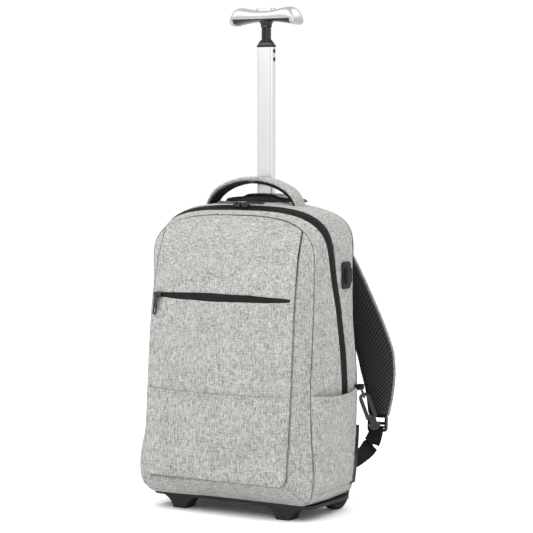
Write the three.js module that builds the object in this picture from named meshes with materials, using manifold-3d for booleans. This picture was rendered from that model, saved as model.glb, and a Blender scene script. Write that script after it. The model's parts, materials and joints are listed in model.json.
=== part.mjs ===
// A wheeled backpack in light grey cloth. It stands on two wheels and two front feet, and its
// telescopic T-grip is pulled out. Millimetres, +Z up, the front towards -Y, the straps towards +Y.
import * as THREE from 'three';
import { mergeVertices } from 'three/addons/utils/BufferGeometryUtils.js';
import Module from 'manifold-3d';

// Soft body
const bodyWidth = 286;
const bodyTop = 470;
const bodyDepth = 128;
const clothFoot = 25;
const clothWall = 2.5;
const seamGap = 0.3;
const topCorner = 66;
const topSquareness = 3;
const footCorner = 18;
const sideCrown = 4;
const frontSeamY = -50;

// Front pocket
const pocketStand = 38;
const gussetTopShare = 0.975;
const panelWidth = 256;
const panelFootRise = 32;
const panelCorner = 14;
const panelCrown = 6;
const slipWall = 1.6;
const slipGap = 0.8;
const slipTop = 187;
const slipMargin = 3;
const mouthLength = 240;
const mouthHeight = 10.5;
const mouthLevel = 331;
const mouthTipHeight = 2.4;
const mouthPower = 0.6;
const mouthRecess = 0.7;
const mouthStripWall = 1.4;

// Main zip
const tapeWidth = 17;
const tapeFoot = 150;
const tapeFade = 25;
const tapeWall = 1.5;
const coilRise = 1;
const sliderLength = 13;
const sliderWidth = 9;
const sliderHeight = 4.5;
const pullerWall = 1.6;
const pullerWidth = 6.4;
const frontPullerLength = 31;
const topPullerLength = 35;
const frontPullerLean = 0.12;
const frontPullerBail = 1;

// Side pockets
const sidePocketFoot = 44;
const sidePocketTop = 190;
const sidePocketPuff = 9;
const sidePocketFrontMargin = 6;
const sidePocketBackMargin = 13;
const sidePocketRound = 0.7;
const sidePocketRise = 1.6;

// Back
const padWall = 9;
const padWidth = 226;
const backPadFoot = 232;
const backPadTop = 424;
const lumbarFoot = 112;
const lumbarTop = 222;
const padChannel = 26;
const padChannelDepth = 5;
const padEdge = 1.2;
const backPadCorner = 0.12;
const lumbarPadCorner = 0.08;

// Base, feet and wheels
const plateWall = 5;
const footTopWidth = 60;
const footSoleWidth = 22;
const footSoleDepth = 26;
const footSpread = 93;
const footSetback = 17;
const wheelRadius = 30;
const wheelWidth = 20;
const wheelSpread = 113.5;
const wheelInset = 2.5;
const hubRadius = 20;
const axleRadius = 4;
const axleClearance = 0.3;
const bossWall = 3.5;
const hubDish = 5;
const hubLip = 2.5;
const tyreShoulder = 5;
const tyreRound = 3;
const spokeHoles = 5;
const spokeHoleRadius = 4;
const wheelClearance = 3.5;
const cheekWall = 4;
const cheekGap = 1.5;
const housingTop = 70;
const housingBack = 10;
const guardTop = 132;
const guardWall = 2.5;
const guardLeg = 12;
const guardTaper = 0.6;

// Trolley
const postWidth = 29;
const postDepth = 14;
const postCorner = 5;
const postWall = 1.6;
const postSetback = 20;
const postOut = 238;
const postInside = 60;
const sleeveWall = 1.6;
const slideClearance = 0.4;
const bezelWidth = 134;
const bezelDepth = 36;
const bezelRise = 14;
const collarRim = 3.2;
const collarRise = 8;
const collarOverhang = 0.9;
const collarStep = 1.4;
const collarTaper = 10;
const plugRadius = 3.2;
const plugPitch = 12.5;
const plugDrop = 6;
const stageWidth = 14;
const stageDepth = 9;
const stageCorner = 2.5;
const stageGroove = 1.4;
const grooveDepth = 0.8;
const stageTravel = 200;
const stageOverlap = 50;
const stageShow = 38.5;

// T-grip
const gripLength = 118;
const gripDepth = 36;
const neckDrop = 7.8;
const neckWaist = 3;
const neckFlareWidth = 16;
const neckFlareDepth = 10;
const buttonLift = 2.2;
const gripSaddle = 17.5;
const gripHump = 5;
const gripDroop = 5.5;
const shellSplit = 4.5;
const shellSkirt = 8;
const buttonLength = 34;
const buttonDepth = 15;
const buttonProud = 3.6;
const buttonWell = 8;
const buttonClearance = 0.4;

// Carry handle
const handleSpan = 158;
const handleRise = 36;
const handleArch = 0.65;
const handleEnd = 0.6;
const handleWidth = 30;
const handlePadWall = 7;
const handleBaseWall = 3.5;
const handleSetback = 51;
const handleHem = 3;

// Shoulder straps
const strapWidth = 66;
const strapPadWall = 8;
const strapCoverWall = 3.4;
const strapCoverLap = 1.5;
const strapStartX = 62;
const strapReach = 108;
const strapTopZ = 446;
const strapDrop = 300;
const strapStand = 38;
const webbingWidth = 25;
const webbingWall = 1.6;
const webbingSlack = 15;
const lockLength = 26;
const lockWidth = 33;
const lockWall = 5;
const lockBar = 4.5;
const lockRail = 3.5;
const ringRadius = 9;
const ringWire = 1.6;
const hookLength = 60;
const hookWidth = 18;
const hookWall = 6;
const hookSlot = 6.5;
const hookBar = 4.6;
const hookEyeShare = 0.62;
const hookWaistFrom = 0.68;
const hookWaistTo = 0.84;
const hookLine = [0.236, 0.27, -0.93];
const tabDepth = 9;
const tabHalf = 4;
const hookAcross = [0.85, 0.53, 0];
const ringOut = 0.75;
const ringBack = 0.45;
const ringDrop = 0.8;

// USB outlet
const usbHeight = 41;
const usbDepth = 26;
const usbWall = 2.5;
const usbCapRise = 5;
const usbCorner = 6;
const usbCapCorner = 5;
const usbCapShare = 0.61;
const usbCentreZ = 363;
const usbInset = 29;

// How the body's half width follows its height, at the front seam and at the back seam
const bodyGirth = [
  { height: 0.0, front: 1.0, back: 0.97 },
  { height: 0.09, front: 1.045, back: 1.01 },
  { height: 0.2, front: 1.025, back: 1.035 },
  { height: 0.37, front: 1.0, back: 1.05 },
  { height: 0.5, front: 1.0, back: 1.03 },
  { height: 0.62, front: 1.0, back: 1.0 },
  { height: 1.0, front: 1.0, back: 1.0 },
];

// How the top of the body rises from the front seam (depth 0) to the back seam (depth 1)
const topRise = [
  { depth: -0.1, height: 0.93 },
  { depth: 0.13, height: 0.962 },
  { depth: 0.27, height: 0.985 },
  { depth: 0.4, height: 0.998 },
  { depth: 0.5, height: 1.0 },
  { depth: 0.85, height: 1.0 },
  { depth: 1.0, height: 0.992 },
];

// Where the front body seam lies, as a share of the body's depth
const frontSeam = [
  { height: 0.0, depth: -0.03 },
  { height: 0.37, depth: -0.01 },
  { height: 0.54, depth: 0.02 },
  { height: 0.75, depth: 0.06 },
  { height: 0.92, depth: 0.065 },
  { height: 0.96, depth: 0.085 },
  { height: 1.0, depth: 0.13 },
];

// Where the middle of the main zip lies, as a share of the body's depth
const zipRun = [
  { height: 0.0, depth: 0.71 },
  { height: 0.4, depth: 0.705 },
  { height: 0.52, depth: 0.68 },
  { height: 0.63, depth: 0.63 },
  { height: 0.75, depth: 0.51 },
  { height: 0.85, depth: 0.43 },
  { height: 0.94, depth: 0.33 },
  { height: 1.0, depth: 0.3 },
];

// The front panel, from its foot seam (height 0) to the front body seam (height 1)
const panelShape = [
  { height: 0.0, width: 0.985, stand: 1.0 },
  { height: 0.12, width: 0.995, stand: 0.93 },
  { height: 0.34, width: 1.0, stand: 0.79 },
  { height: 0.72, width: 0.99, stand: 0.66 },
  { height: 0.88, width: 0.97, stand: 0.36 },
  { height: 1.0, width: 0.955, stand: 0.0 },
];

// Dents in the cloth of the sides: place by shares of height and depth, radius and depth in shares
// of the body's depth
const sideDents = [
  { side: 1, height: 0.07, depth: 0.12, radius: 0.13, sink: 0.018 },
  { side: 1, height: 0.15, depth: 0.3, radius: 0.16, sink: 0.014 },
  { side: 1, height: 0.47, depth: 0.35, radius: 0.3, sink: 0.016 },
  { side: -1, height: 0.1, depth: 0.25, radius: 0.2, sink: 0.014 },
  { side: -1, height: 0.5, depth: 0.4, radius: 0.3, sink: 0.018 },
];

// Dents in the front panel: place by shares of its half width and height, radius and sink in
// shares of its half width
const panelDents = [
  { across: -0.3, height: 0.62, radius: 0.34, sink: 0.02 },
  { across: 0.45, height: 0.45, radius: 0.3, sink: 0.016 },
  { across: 0.78, height: 0.1, radius: 0.2, sink: 0.022 },
  { across: -0.55, height: 0.16, radius: 0.3, sink: 0.014 },
];

// The centre line of a shoulder strap's pad, from its sewn top end (drop 0) to its lower end
const strapLine = [
  { drop: 0.0, out: 0.0, stand: 0.02, width: 0.9 },
  { drop: 0.03, out: 0.02, stand: 0.04, width: 0.93 },
  { drop: 0.08, out: 0.08, stand: 0.34, width: 0.97 },
  { drop: 0.17, out: 0.21, stand: 0.68, width: 1.0 },
  { drop: 0.42, out: 0.54, stand: 0.95, width: 1.0 },
  { drop: 0.57, out: 0.73, stand: 1.0, width: 1.0 },
  { drop: 0.68, out: 0.86, stand: 0.97, width: 0.98 },
  { drop: 0.79, out: 0.935, stand: 0.88, width: 0.88 },
  { drop: 0.89, out: 0.98, stand: 0.78, width: 0.7 },
  { drop: 1.0, out: 0.99, stand: 0.68, width: 0.52 },
];

// The grip from its middle (along 0) to its end (along 1): its top, underside and depth
const gripSections = [
  { along: 0.0, top: 0.0, under: 0.0, depth: 0.94 },
  { along: 0.3, top: 0.2, under: 0.1, depth: 0.96 },
  { along: 0.58, top: 0.8, under: 0.42, depth: 1.0 },
  { along: 0.76, top: 1.0, under: 0.74, depth: 1.0 },
  { along: 0.86, top: 0.45, under: 0.9, depth: 0.99 },
  { along: 0.93, top: -0.75, under: 1.0, depth: 0.94 },
  { along: 0.98, top: -2.1, under: 0.95, depth: 0.8 },
  { along: 1.0, top: -3.2, under: 0.6, depth: 0.56 },
];

const materials = {
  cloth: new THREE.MeshStandardMaterial({ color: 0xb4b4b1, roughness: 0.95, metalness: 0 }),
  mesh: new THREE.MeshStandardMaterial({ color: 0x17181a, roughness: 0.95, metalness: 0 }),
  webbing: new THREE.MeshStandardMaterial({ color: 0x101113, roughness: 0.85, metalness: 0 }),
  plastic: new THREE.MeshStandardMaterial({ color: 0x121315, roughness: 0.5, metalness: 0 }),
  rubber: new THREE.MeshStandardMaterial({ color: 0x1c1c1d, roughness: 0.9, metalness: 0 }),
  aluminium: new THREE.MeshStandardMaterial({ color: 0xdcdddf, roughness: 0.32, metalness: 1 }),
  satin: new THREE.MeshStandardMaterial({ color: 0xc3c4c6, roughness: 0.3, metalness: 0.9 }),
  zinc: new THREE.MeshStandardMaterial({ color: 0x1a1b1d, roughness: 0.35, metalness: 0.8 }),
};

const wasm = await Module();
wasm.setup();

const bodyHeight = bodyTop - clothFoot;
const backSeamY = frontSeamY + bodyDepth;
const postY = backSeamY - postSetback;
const panelFoot = clothFoot + panelFootRise;
const postTop = bodyTop + postOut;
const gripUnderside = postTop + stageShow;

const mix = THREE.MathUtils.lerp;
const clamp = THREE.MathUtils.clamp;
const vec = (x, y, z) => new THREE.Vector3(x, y, z);

// Shares from -1 to 1 that crowd towards both ends
const crowded = (n) => Array.from({ length: n + 1 }, (_, i) => Math.sin((i / n - 0.5) * Math.PI));
const shares = (n) => Array.from({ length: n + 1 }, (_, i) => i / n);

// Reads a table smoothly: rows are sorted by key, and the value follows a curve through them
function read(rows, key, column, at) {
  const last = rows.length - 1;
  if (at <= rows[0][key]) return rows[0][column];
  if (at >= rows[last][key]) return rows[last][column];
  let i = 0;
  while (rows[i + 1][key] < at) i += 1;
  const slope = (j) => {
    const a = rows[Math.max(j - 1, 0)];
    const b = rows[Math.min(j + 1, last)];
    return (b[column] - a[column]) / (b[key] - a[key]);
  };
  const span = rows[i + 1][key] - rows[i][key];
  const t = (at - rows[i][key]) / span;
  const t2 = t * t;
  const t3 = t2 * t;
  return (2 * t3 - 3 * t2 + 1) * rows[i][column] + (t3 - 2 * t2 + t) * span * slope(i)
    + (3 * t2 - 2 * t3) * rows[i + 1][column] + (t3 - t2) * span * slope(i + 1);
}

const depthToY = (depth) => frontSeamY + bodyDepth * depth;
const yToDepth = (y) => (y - frontSeamY) / bodyDepth;
const topAt = (depth) => clothFoot + bodyHeight * read(topRise, 'depth', 'height', depth);

// The body's half width at a height and a depth, below its rounded top corners
function girthAt(z, depth) {
  const height = (z - clothFoot) / bodyHeight;
  const front = read(bodyGirth, 'height', 'front', height);
  const back = read(bodyGirth, 'height', 'back', height);
  const d = clamp(depth, 0, 1);
  return (bodyWidth / 2) * mix(front, back, d) + sideCrown * 4 * d * (1 - d);
}

// The body's half width at any height, with the rounded top corners
function halfWidthAt(z, depth) {
  const shoulder = topAt(depth) - topCorner;
  if (z <= shoulder) return girthAt(z, depth);
  const rise = clamp((z - shoulder) / topCorner, 0, 1);
  return girthAt(shoulder, depth) * (1 - rise ** topSquareness) ** (1 / topSquareness);
}

// The body's top at a distance from the middle
function topEdgeAt(x, depth) {
  const shoulder = topAt(depth) - topCorner;
  const share = clamp(Math.abs(x) / girthAt(shoulder, depth), 0, 1);
  return shoulder + topCorner * (1 - share ** topSquareness) ** (1 / topSquareness);
}

// Stations round half of the body's outline, from the middle of its foot to the middle of its top
function halfStations(counts) {
  const zones = ['foot', 'footCorner', 'side', 'top'];
  const stations = [];
  zones.forEach((zone, k) => {
    for (let i = 0; i < counts[k]; i += 1) stations.push({ zone, f: i / counts[k], side: 1 });
  });
  stations.push({ zone: 'top', f: 1, side: 1 });
  return stations;
}

function mirrored(stations) {
  return stations.map((s) => ({ ...s, side: -1 })).reverse();
}

function wallPoint(station, depth) {
  const { zone, f, side } = station;
  const top = topAt(depth);
  const shoulder = top - topCorner;
  const cornerX = girthAt(clothFoot + footCorner, depth) - footCorner;
  const y = depthToY(depth);
  if (zone === 'foot') return vec(side * f * cornerX, y, clothFoot);
  if (zone === 'footCorner') {
    const a = f * Math.PI / 2;
    return vec(side * (cornerX + footCorner * Math.sin(a)), y,
      clothFoot + footCorner * (1 - Math.cos(a)));
  }
  if (zone === 'side') {
    const z = mix(clothFoot + footCorner, shoulder, f);
    return vec(side * girthAt(z, depth), y, z);
  }
  const a = f * Math.PI / 2;
  const power = 2 / topSquareness;
  return vec(side * girthAt(shoulder, depth) * Math.max(Math.cos(a), 0) ** power, y,
    shoulder + topCorner * Math.sin(a) ** power);
}

// A station's height as a share of the body's height, near the front seam
function stationHeight(station) {
  return (wallPoint(station, 0.06).z - clothFoot) / (topAt(0.06) - clothFoot);
}

function dentAt(point) {
  return sideDents.reduce((sum, dent) => {
    if (Math.sign(point.x) !== dent.side) return sum;
    const dz = point.z - (clothFoot + dent.height * bodyHeight);
    const dy = point.y - depthToY(dent.depth);
    const r = dent.radius * bodyDepth;
    return sum + dent.sink * bodyDepth * Math.exp(-(dz * dz + dy * dy) / (r * r));
  }, 0);
}

// Makes one closed solid of a grid of outer points and the matching grid of inner points
function shell(outer, inner, loop) {
  const rows = outer.length;
  const columns = outer[0].length;
  const points = [...outer.flat(), ...inner.flat()];
  const index = [];
  const at = (i, j, layer) => layer * rows * columns + (i % rows) * columns + j;
  const quad = (a, b, c, d) => index.push(a, b, c, a, c, d);
  const steps = loop ? rows : rows - 1;
  for (let i = 0; i < steps; i += 1) {
    for (let j = 0; j < columns - 1; j += 1) {
      quad(at(i, j, 0), at(i + 1, j, 0), at(i + 1, j + 1, 0), at(i, j + 1, 0));
      quad(at(i, j, 1), at(i, j + 1, 1), at(i + 1, j + 1, 1), at(i + 1, j, 1));
    }
    quad(at(i, 0, 0), at(i, 0, 1), at(i + 1, 0, 1), at(i + 1, 0, 0));
    const e = columns - 1;
    quad(at(i, e, 0), at(i + 1, e, 0), at(i + 1, e, 1), at(i, e, 1));
  }
  if (!loop) {
    for (let j = 0; j < columns - 1; j += 1) {
      quad(at(0, j, 0), at(0, j + 1, 0), at(0, j + 1, 1), at(0, j, 1));
      const e = rows - 1;
      quad(at(e, j, 0), at(e, j, 1), at(e, j + 1, 1), at(e, j + 1, 0));
    }
  }
  return facingOut(points, index);
}

// Makes one closed solid through rings of points, closed at both ends
function loft(rings) {
  const count = rings[0].length;
  const points = rings.flat();
  const index = [];
  for (let i = 0; i < rings.length - 1; i += 1) {
    for (let j = 0; j < count; j += 1) {
      const a = i * count + j;
      const b = i * count + (j + 1) % count;
      index.push(a, b, b + count, a, b + count, a + count);
    }
  }
  [0, rings.length - 1].forEach((i) => {
    const centre = rings[i].reduce((sum, p) => sum.add(p), vec(0, 0, 0)).divideScalar(count);
    points.push(centre);
    for (let j = 0; j < count; j += 1) {
      const a = i * count + j;
      const b = i * count + (j + 1) % count;
      index.push(...(i === 0 ? [b, a, points.length - 1] : [a, b, points.length - 1]));
    }
  });
  return facingOut(points, index);
}

function facingOut(points, index) {
  let volume = 0;
  for (let i = 0; i < index.length; i += 3) {
    const [a, b, c] = [points[index[i]], points[index[i + 1]], points[index[i + 2]]];
    volume += a.dot(b.clone().cross(c));
  }
  if (volume < 0) index.reverse();
  const geometry = new THREE.BufferGeometry().setFromPoints(points);
  geometry.setIndex(index);
  return geometry;
}

function toSolid(geometry) {
  const bare = geometry.clone();
  bare.deleteAttribute('normal');
  bare.deleteAttribute('uv');
  const merged = mergeVertices(bare, 1e-4);
  return new wasm.Manifold(new wasm.Mesh({
    numProp: 3,
    vertProperties: new Float32Array(merged.attributes.position.array),
    triVerts: new Uint32Array(merged.index.array),
  }));
}

function fromSolid(solid) {
  const mesh = solid.getMesh();
  const geometry = new THREE.BufferGeometry();
  geometry.setAttribute('position', new THREE.BufferAttribute(mesh.vertProperties, 3));
  geometry.setIndex(new THREE.BufferAttribute(mesh.triVerts, 1));
  return geometry;
}

function cut(geometry, ...tools) {
  return fromSolid(tools.reduce((solid, tool) => solid.subtract(toSolid(tool)), toSolid(geometry)));
}

const keep = (geometry, tool) => fromSolid(toSolid(geometry).intersect(toSolid(tool)));
const join = (a, b) => fromSolid(toSolid(a).add(toSolid(b)));

function block(x0, x1, y0, y1, z0, z1) {
  const geometry = new THREE.BoxGeometry(x1 - x0, y1 - y0, z1 - z0);
  return geometry.translate((x0 + x1) / 2, (y0 + y1) / 2, (z0 + z1) / 2);
}

// The corners of a rounded rectangle, each an arc of three steps
function roundedOutline(width, height, radius) {
  const r = Math.min(radius, width / 2 - 0.01, height / 2 - 0.01);
  const centres = [[1, 1], [-1, 1], [-1, -1], [1, -1]];
  return centres.flatMap(([sx, sy], k) => shares(3).map((t) => {
    const a = (k + t) * Math.PI / 2;
    return new THREE.Vector2(sx * (width / 2 - r) + r * Math.cos(a),
      sy * (height / 2 - r) + r * Math.sin(a));
  }));
}

const roundedShape = (width, height, radius) => new THREE.Shape(
  roundedOutline(width, height, radius));

function extrude(shape, height, curveSegments = 4) {
  return new THREE.ExtrudeGeometry(shape, {
    depth: height, bevelEnabled: false, curveSegments, steps: 1,
  });
}

// An upright tube or bar of rounded section, by its centre and its lower and upper ends
function upright(width, depth, radius, y, z0, z1) {
  return extrude(roundedShape(width, depth, radius), z1 - z0).translate(0, y, z0);
}

function cylinderX(radius, x0, x1, y, z, sides) {
  const geometry = new THREE.CylinderGeometry(radius, radius, Math.abs(x1 - x0), sides);
  return geometry.rotateZ(Math.PI / 2).translate((x0 + x1) / 2, y, z);
}

const bag = new THREE.Group();

function add(name, geometry, material) {
  geometry.computeVertexNormals();
  const mesh = new THREE.Mesh(geometry, material);
  mesh.name = name;
  bag.add(mesh);
}

// Adds a right hand piece and its mirror image on the left
function addPair(name, geometry, material) {
  add(`${name}_right`, geometry, material);
  const left = geometry.clone().scale(-1, 1, 1);
  const order = left.index ? Array.from(left.index.array)
    : Array.from({ length: left.attributes.position.count }, (_, i) => i);
  left.setIndex(order.reverse());
  add(`${name}_left`, left, material);
}

// Outward direction of a path of stations, in the plane across the body
function outward(path, i, loop) {
  const n = path.length;
  const before = path[loop ? (i + n - 1) % n : Math.max(i - 1, 0)];
  const after = path[loop ? (i + 1) % n : Math.min(i + 1, n - 1)];
  return vec(after.z - before.z, 0, before.x - after.x).normalize();
}

// A wall of cloth round the body between two depths, given as functions of the station
function bodyWall({ stations, loop, from, to, steps, wall, lift, stand }) {
  const outer = stations.map(() => []);
  const inner = stations.map(() => []);
  for (let j = 0; j <= steps; j += 1) {
    const path = stations.map((s) => wallPoint(s, mix(from(s), to(s), j / steps)));
    path.forEach((point, i) => {
      const out = outward(path, i, loop);
      const base = point.clone().addScaledVector(out, (stand ?? 0) - dentAt(point));
      outer[i].push(base.clone().addScaledVector(out, lift ? lift(j / steps) : 0));
      inner[i].push(base.clone().addScaledVector(out, -wall));
    });
  }
  return shell(outer, inner, loop);
}

const seamDepthAt = (height) => read(frontSeam, 'height', 'depth', height);
const panelBackDepth = (clothWall + 3 * seamGap) / bodyDepth;
const frontEdge = (s) => seamDepthAt(stationHeight(s)) + panelBackDepth;
const zipDepth = (s) => read(zipRun, 'height', 'depth', stationHeight(s));

// Half the zip tape's width, which closes to nothing below the tape's foot
function tapeHalf(s) {
  const z = wallPoint(s, zipDepth(s)).z;
  return (tapeWidth / 2) * clamp((z - tapeFoot + tapeFade) / tapeFade, 0, 1);
}

// The front gusset runs up to the zip, and under the bag as far as the back seam
function zipFront(s) {
  if (s.zone === 'foot' || s.zone === 'footCorner') return 1;
  return zipDepth(s) - (tapeHalf(s) + seamGap) / bodyDepth;
}

const zipBack = (s) => zipDepth(s) + (tapeHalf(s) + seamGap) / bodyDepth;

const housing = {
  inner: wheelSpread - wheelWidth / 2 - cheekGap - cheekWall,
  outer: wheelSpread + wheelWidth / 2 + cheekGap + cheekWall,
  front: backSeamY - wheelInset - wheelRadius - wheelClearance - cheekWall,
  back: backSeamY + housingBack,
  foot: clothFoot - plateWall - seamGap,
  top: housingTop,
};

function housingRoom(side) {
  const g = seamGap;
  const [a, b] = [side * (housing.inner - g), side * (housing.outer + g)];
  return block(Math.min(a, b), Math.max(a, b), housing.front - g, housing.back + g,
    housing.foot - g, housing.top + g);
}

function trolleyRoom(z0, z1) {
  const grow = 2 * (slideClearance + sleeveWall + seamGap);
  return upright(postWidth + grow, postDepth + grow, postCorner + grow / 2, postY, z0, z1);
}

// The part of the front panel's surface, by shares of its half width and height
function panelFootEdge(x, half) {
  const into = Math.abs(x) - (half - panelCorner);
  if (into <= 0) return panelFoot;
  return panelFoot + panelCorner - Math.sqrt(Math.max(panelCorner ** 2 - into ** 2, 0));
}

function panelTopEdge(x) {
  let depth = 0.1;
  for (let i = 0; i < 3; i += 1) {
    const z = topEdgeAt(x, depth);
    depth = seamDepthAt((z - clothFoot) / (topAt(depth) - clothFoot));
  }
  return { z: topEdgeAt(x, depth), depth };
}

function panelHalfWidth(height) {
  return (panelWidth / 2) * read(panelShape, 'height', 'width', height);
}

function panelPoint(across, height) {
  const x = across * panelHalfWidth(height);
  const foot = panelFootEdge(across * panelHalfWidth(0), panelHalfWidth(0));
  const top = panelTopEdge(x);
  const z = mix(foot, top.z, height);
  return vec(x, panelY(x, z), z);
}

function panelY(x, z) {
  const top = panelTopEdge(x);
  const height = clamp((z - panelFoot) / (top.z - panelFoot), 0, 1);
  const across = x / panelHalfWidth(height);
  const seam = mix(seamDepthAt((z - clothFoot) / (topAt(top.depth) - clothFoot)), top.depth,
    clamp((height - 0.9) * 10, 0, 1));
  const crown = panelCrown * (1 - across ** 2) * 4 * height * (1 - height);
  const dent = panelDents.reduce((sum, d) => {
    const half = panelWidth / 2;
    const r = d.radius * half;
    const dx = (across - d.across) * half;
    const dz = z - mix(panelFoot, top.z, d.height);
    const edge = (1 - across ** 2) * 4 * height * (1 - height);
    return sum + d.sink * half * Math.min(edge * 2, 1) * Math.exp(-(dx * dx + dz * dz) / (r * r));
  }, 0);
  return depthToY(seam) - pocketStand * read(panelShape, 'height', 'stand', height) - crown + dent;
}

// The pocket's mouth, a long lens, as a prism that goes through the front panel
function mouthHalfHeight(share) {
  return mix(mouthTipHeight, mouthHeight, (1 - share ** 2) ** mouthPower) / 2;
}

function mouthTool() {
  const shape = new THREE.Shape();
  const line = shares(10).map((t) => 2 * t - 1);
  line.forEach((t, i) => {
    const point = [t * mouthLength / 2, mouthHalfHeight(t)];
    if (i === 0) shape.moveTo(...point);
    else shape.lineTo(...point);
  });
  line.reverse().forEach((t) => shape.lineTo(t * mouthLength / 2, -mouthHalfHeight(t)));
  const prism = extrude(shape, pocketStand * 2).rotateX(Math.PI / 2);
  return prism.translate(0, frontSeamY + pocketStand / 2, mouthLevel);
}

function frontPanel() {
  const outer = crowded(10).map((u) => shares(11).map((v) => panelPoint(u, v)));
  const inner = outer.map((row) => row.map((p) => p.clone().add(vec(0, clothWall, 0))));
  add('front_panel', cut(shell(outer, inner, false), mouthTool()), materials.cloth);
}

function frontZipper() {
  const reach = mouthLength / 2 - seamGap;
  const outer = shares(10).map((t) => {
    const x = (2 * t - 1) * reach;
    const half = mouthHalfHeight(2 * t - 1) - seamGap;
    return [-1, -0.25, 0.25, 1].map((w) => {
      const z = mouthLevel + w * half;
      const recess = Math.abs(w) === 1 ? mouthRecess : mouthRecess / 2;
      return vec(x, panelY(x, z) + recess, z);
    });
  });
  const inner = outer.map((row) => row.map((p) => p.clone().add(vec(0, mouthStripWall, 0))));
  add('front_zipper', shell(outer, inner, false), materials.webbing);
}

// A low pocket of thin cloth laid on the foot of the front panel
function slipPocket() {
  const half = panelHalfWidth(0) - slipMargin;
  const foot = (x) => panelFootEdge(x * (panelHalfWidth(0) / half), panelHalfWidth(0)) + slipMargin;
  const outer = crowded(12).map((u) => shares(4).map((v) => {
    const z = mix(foot(u * half), slipTop, v);
    const height = (z - panelFoot) / (topAt(0) - panelFoot);
    const x = u * mix(half, panelHalfWidth(height) - slipMargin, Math.min(v * 3, 1));
    return vec(x, panelY(x, z) - slipGap - slipWall, z);
  }));
  const inner = outer.map((row) => row.map((p) => p.clone().add(vec(0, slipWall, 0))));
  add('slip_pocket', shell(outer, inner, false), materials.cloth);
}

// The wedge of cloth round the front pocket, from the panel's edge to the front body seam
function pocketGusset() {
  const startY = clothWall + seamGap;
  const pair = (a, b) => [a.clone().add(vec(0, startY + seamGap, 0)), b];
  const seamPoint = (z) => {
    const depth = seamDepthAt((z - clothFoot) / (topAt(0.06) - clothFoot));
    return vec(halfWidthAt(z, depth), depthToY(depth) + startY, z);
  };
  const sideTop = panelPoint(1, gussetTopShare).z;
  const sideFoot = panelPoint(1, 0).z;
  const half = shares(11).map((t) => {
    const a = panelPoint(1, mix(gussetTopShare, 0, t));
    const rise = (a.z - sideFoot) / (sideTop - sideFoot);
    return pair(a, seamPoint(mix(clothFoot + footCorner, sideTop, rise)));
  });
  const seamFoot = seamPoint(clothFoot + footCorner);
  const panelX = panelHalfWidth(0);
  const onPanel = (x, z) => vec(x, panelY(x, z), z);
  shares(3).slice(1).forEach((t) => {
    const a = t * Math.PI / 2;
    const [c, s] = [1 - Math.cos(a), 1 - Math.sin(a)];
    half.push(pair(onPanel(panelX - panelCorner * c, panelFoot + panelCorner * s),
      vec(seamFoot.x - footCorner * c, seamFoot.y, clothFoot + footCorner * s)));
  });
  shares(4).slice(1).forEach((t) => {
    half.push(pair(onPanel((panelX - panelCorner) * (1 - t), panelFoot),
      vec((seamFoot.x - footCorner) * (1 - t), seamFoot.y, clothFoot)));
  });
  const flip = (p) => vec(-p.x, p.y, p.z);
  const rows = [...half, ...half.slice(0, -1).reverse().map((row) => row.map(flip))];
  const steps = 2;
  const outer = rows.map(() => []);
  const inner = rows.map(() => []);
  for (let j = 0; j <= steps; j += 1) {
    const path = rows.map(([a, b]) => a.clone().lerp(b, j / steps));
    path.forEach((p, i) => {
      const out = outward(path, i, false).negate();
      outer[i].push(p);
      inner[i].push(p.clone().addScaledVector(out, -clothWall));
    });
  }
  add('pocket_gusset', shell(outer, inner, false), materials.cloth);
}

function bodyWalls() {
  const right = halfStations([2, 3, 7, 8]);
  const loop = [...right, ...mirrored(right).slice(1, -1)];
  const front = bodyWall({
    stations: loop, loop: true, from: frontEdge, to: zipFront, steps: 2, wall: clothWall,
  });
  add('front_gusset', cut(front, housingRoom(1), housingRoom(-1)), materials.cloth);
  const sideLength = bodyHeight - topCorner - footCorner;
  const upper = [{ zone: 'side', f: seamGap / sideLength, side: 1 },
    ...right.filter((s) => s.zone === 'top' || (s.zone === 'side' && s.f > 0))];
  const back = bodyWall({
    stations: [...upper, ...mirrored(upper).slice(1)], loop: false, from: zipBack, to: () => 1,
    steps: 2, wall: clothWall,
  });
  add('rear_gusset', cut(back, trolleyRoom(bodyTop - topCorner, bodyTop + bezelRise)),
    materials.cloth);
  const tapeStations = right.filter((s) => wallPoint(s, zipDepth(s)).z > tapeFoot);
  const edge = (tapeWidth / 2) / bodyDepth;
  const coil = (f) => (f > 0.3 && f < 0.7 ? coilRise : 0);
  add('zipper_tape', bodyWall({
    stations: [...tapeStations, ...mirrored(tapeStations).slice(1)], loop: false, steps: 4,
    from: (s) => zipDepth(s) - edge, to: (s) => zipDepth(s) + edge, wall: tapeWall, lift: coil,
  }), materials.webbing);
}

// A panel across the back of the body, with its own foot and top edges
function backPoint(across, height, z0Of, z1Of, y) {
  const sideZ = mix(clothFoot + footCorner, topAt(1) - topCorner, height);
  const x = across * girthAt(sideZ, 1);
  return vec(x, y, mix(z0Of(x), z1Of(x), height));
}

function backPanel() {
  const footX = girthAt(clothFoot + footCorner, 1);
  const foot = (x) => {
    const into = Math.abs(x) - (footX - footCorner);
    if (into <= 0) return clothFoot;
    return clothFoot + footCorner - Math.sqrt(Math.max(footCorner ** 2 - into ** 2, 0));
  };
  const near = backSeamY + seamGap;
  const inner = crowded(10).map((u) => shares(6)
    .map((v) => backPoint(u, v, foot, (x) => topEdgeAt(x, 1), near)));
  const outer = inner.map((row) => row.map((p) => p.clone().add(vec(0, clothWall, 0))));
  add('back_panel', cut(shell(outer, inner, false), housingRoom(1), housingRoom(-1)),
    materials.mesh);
}

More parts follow.
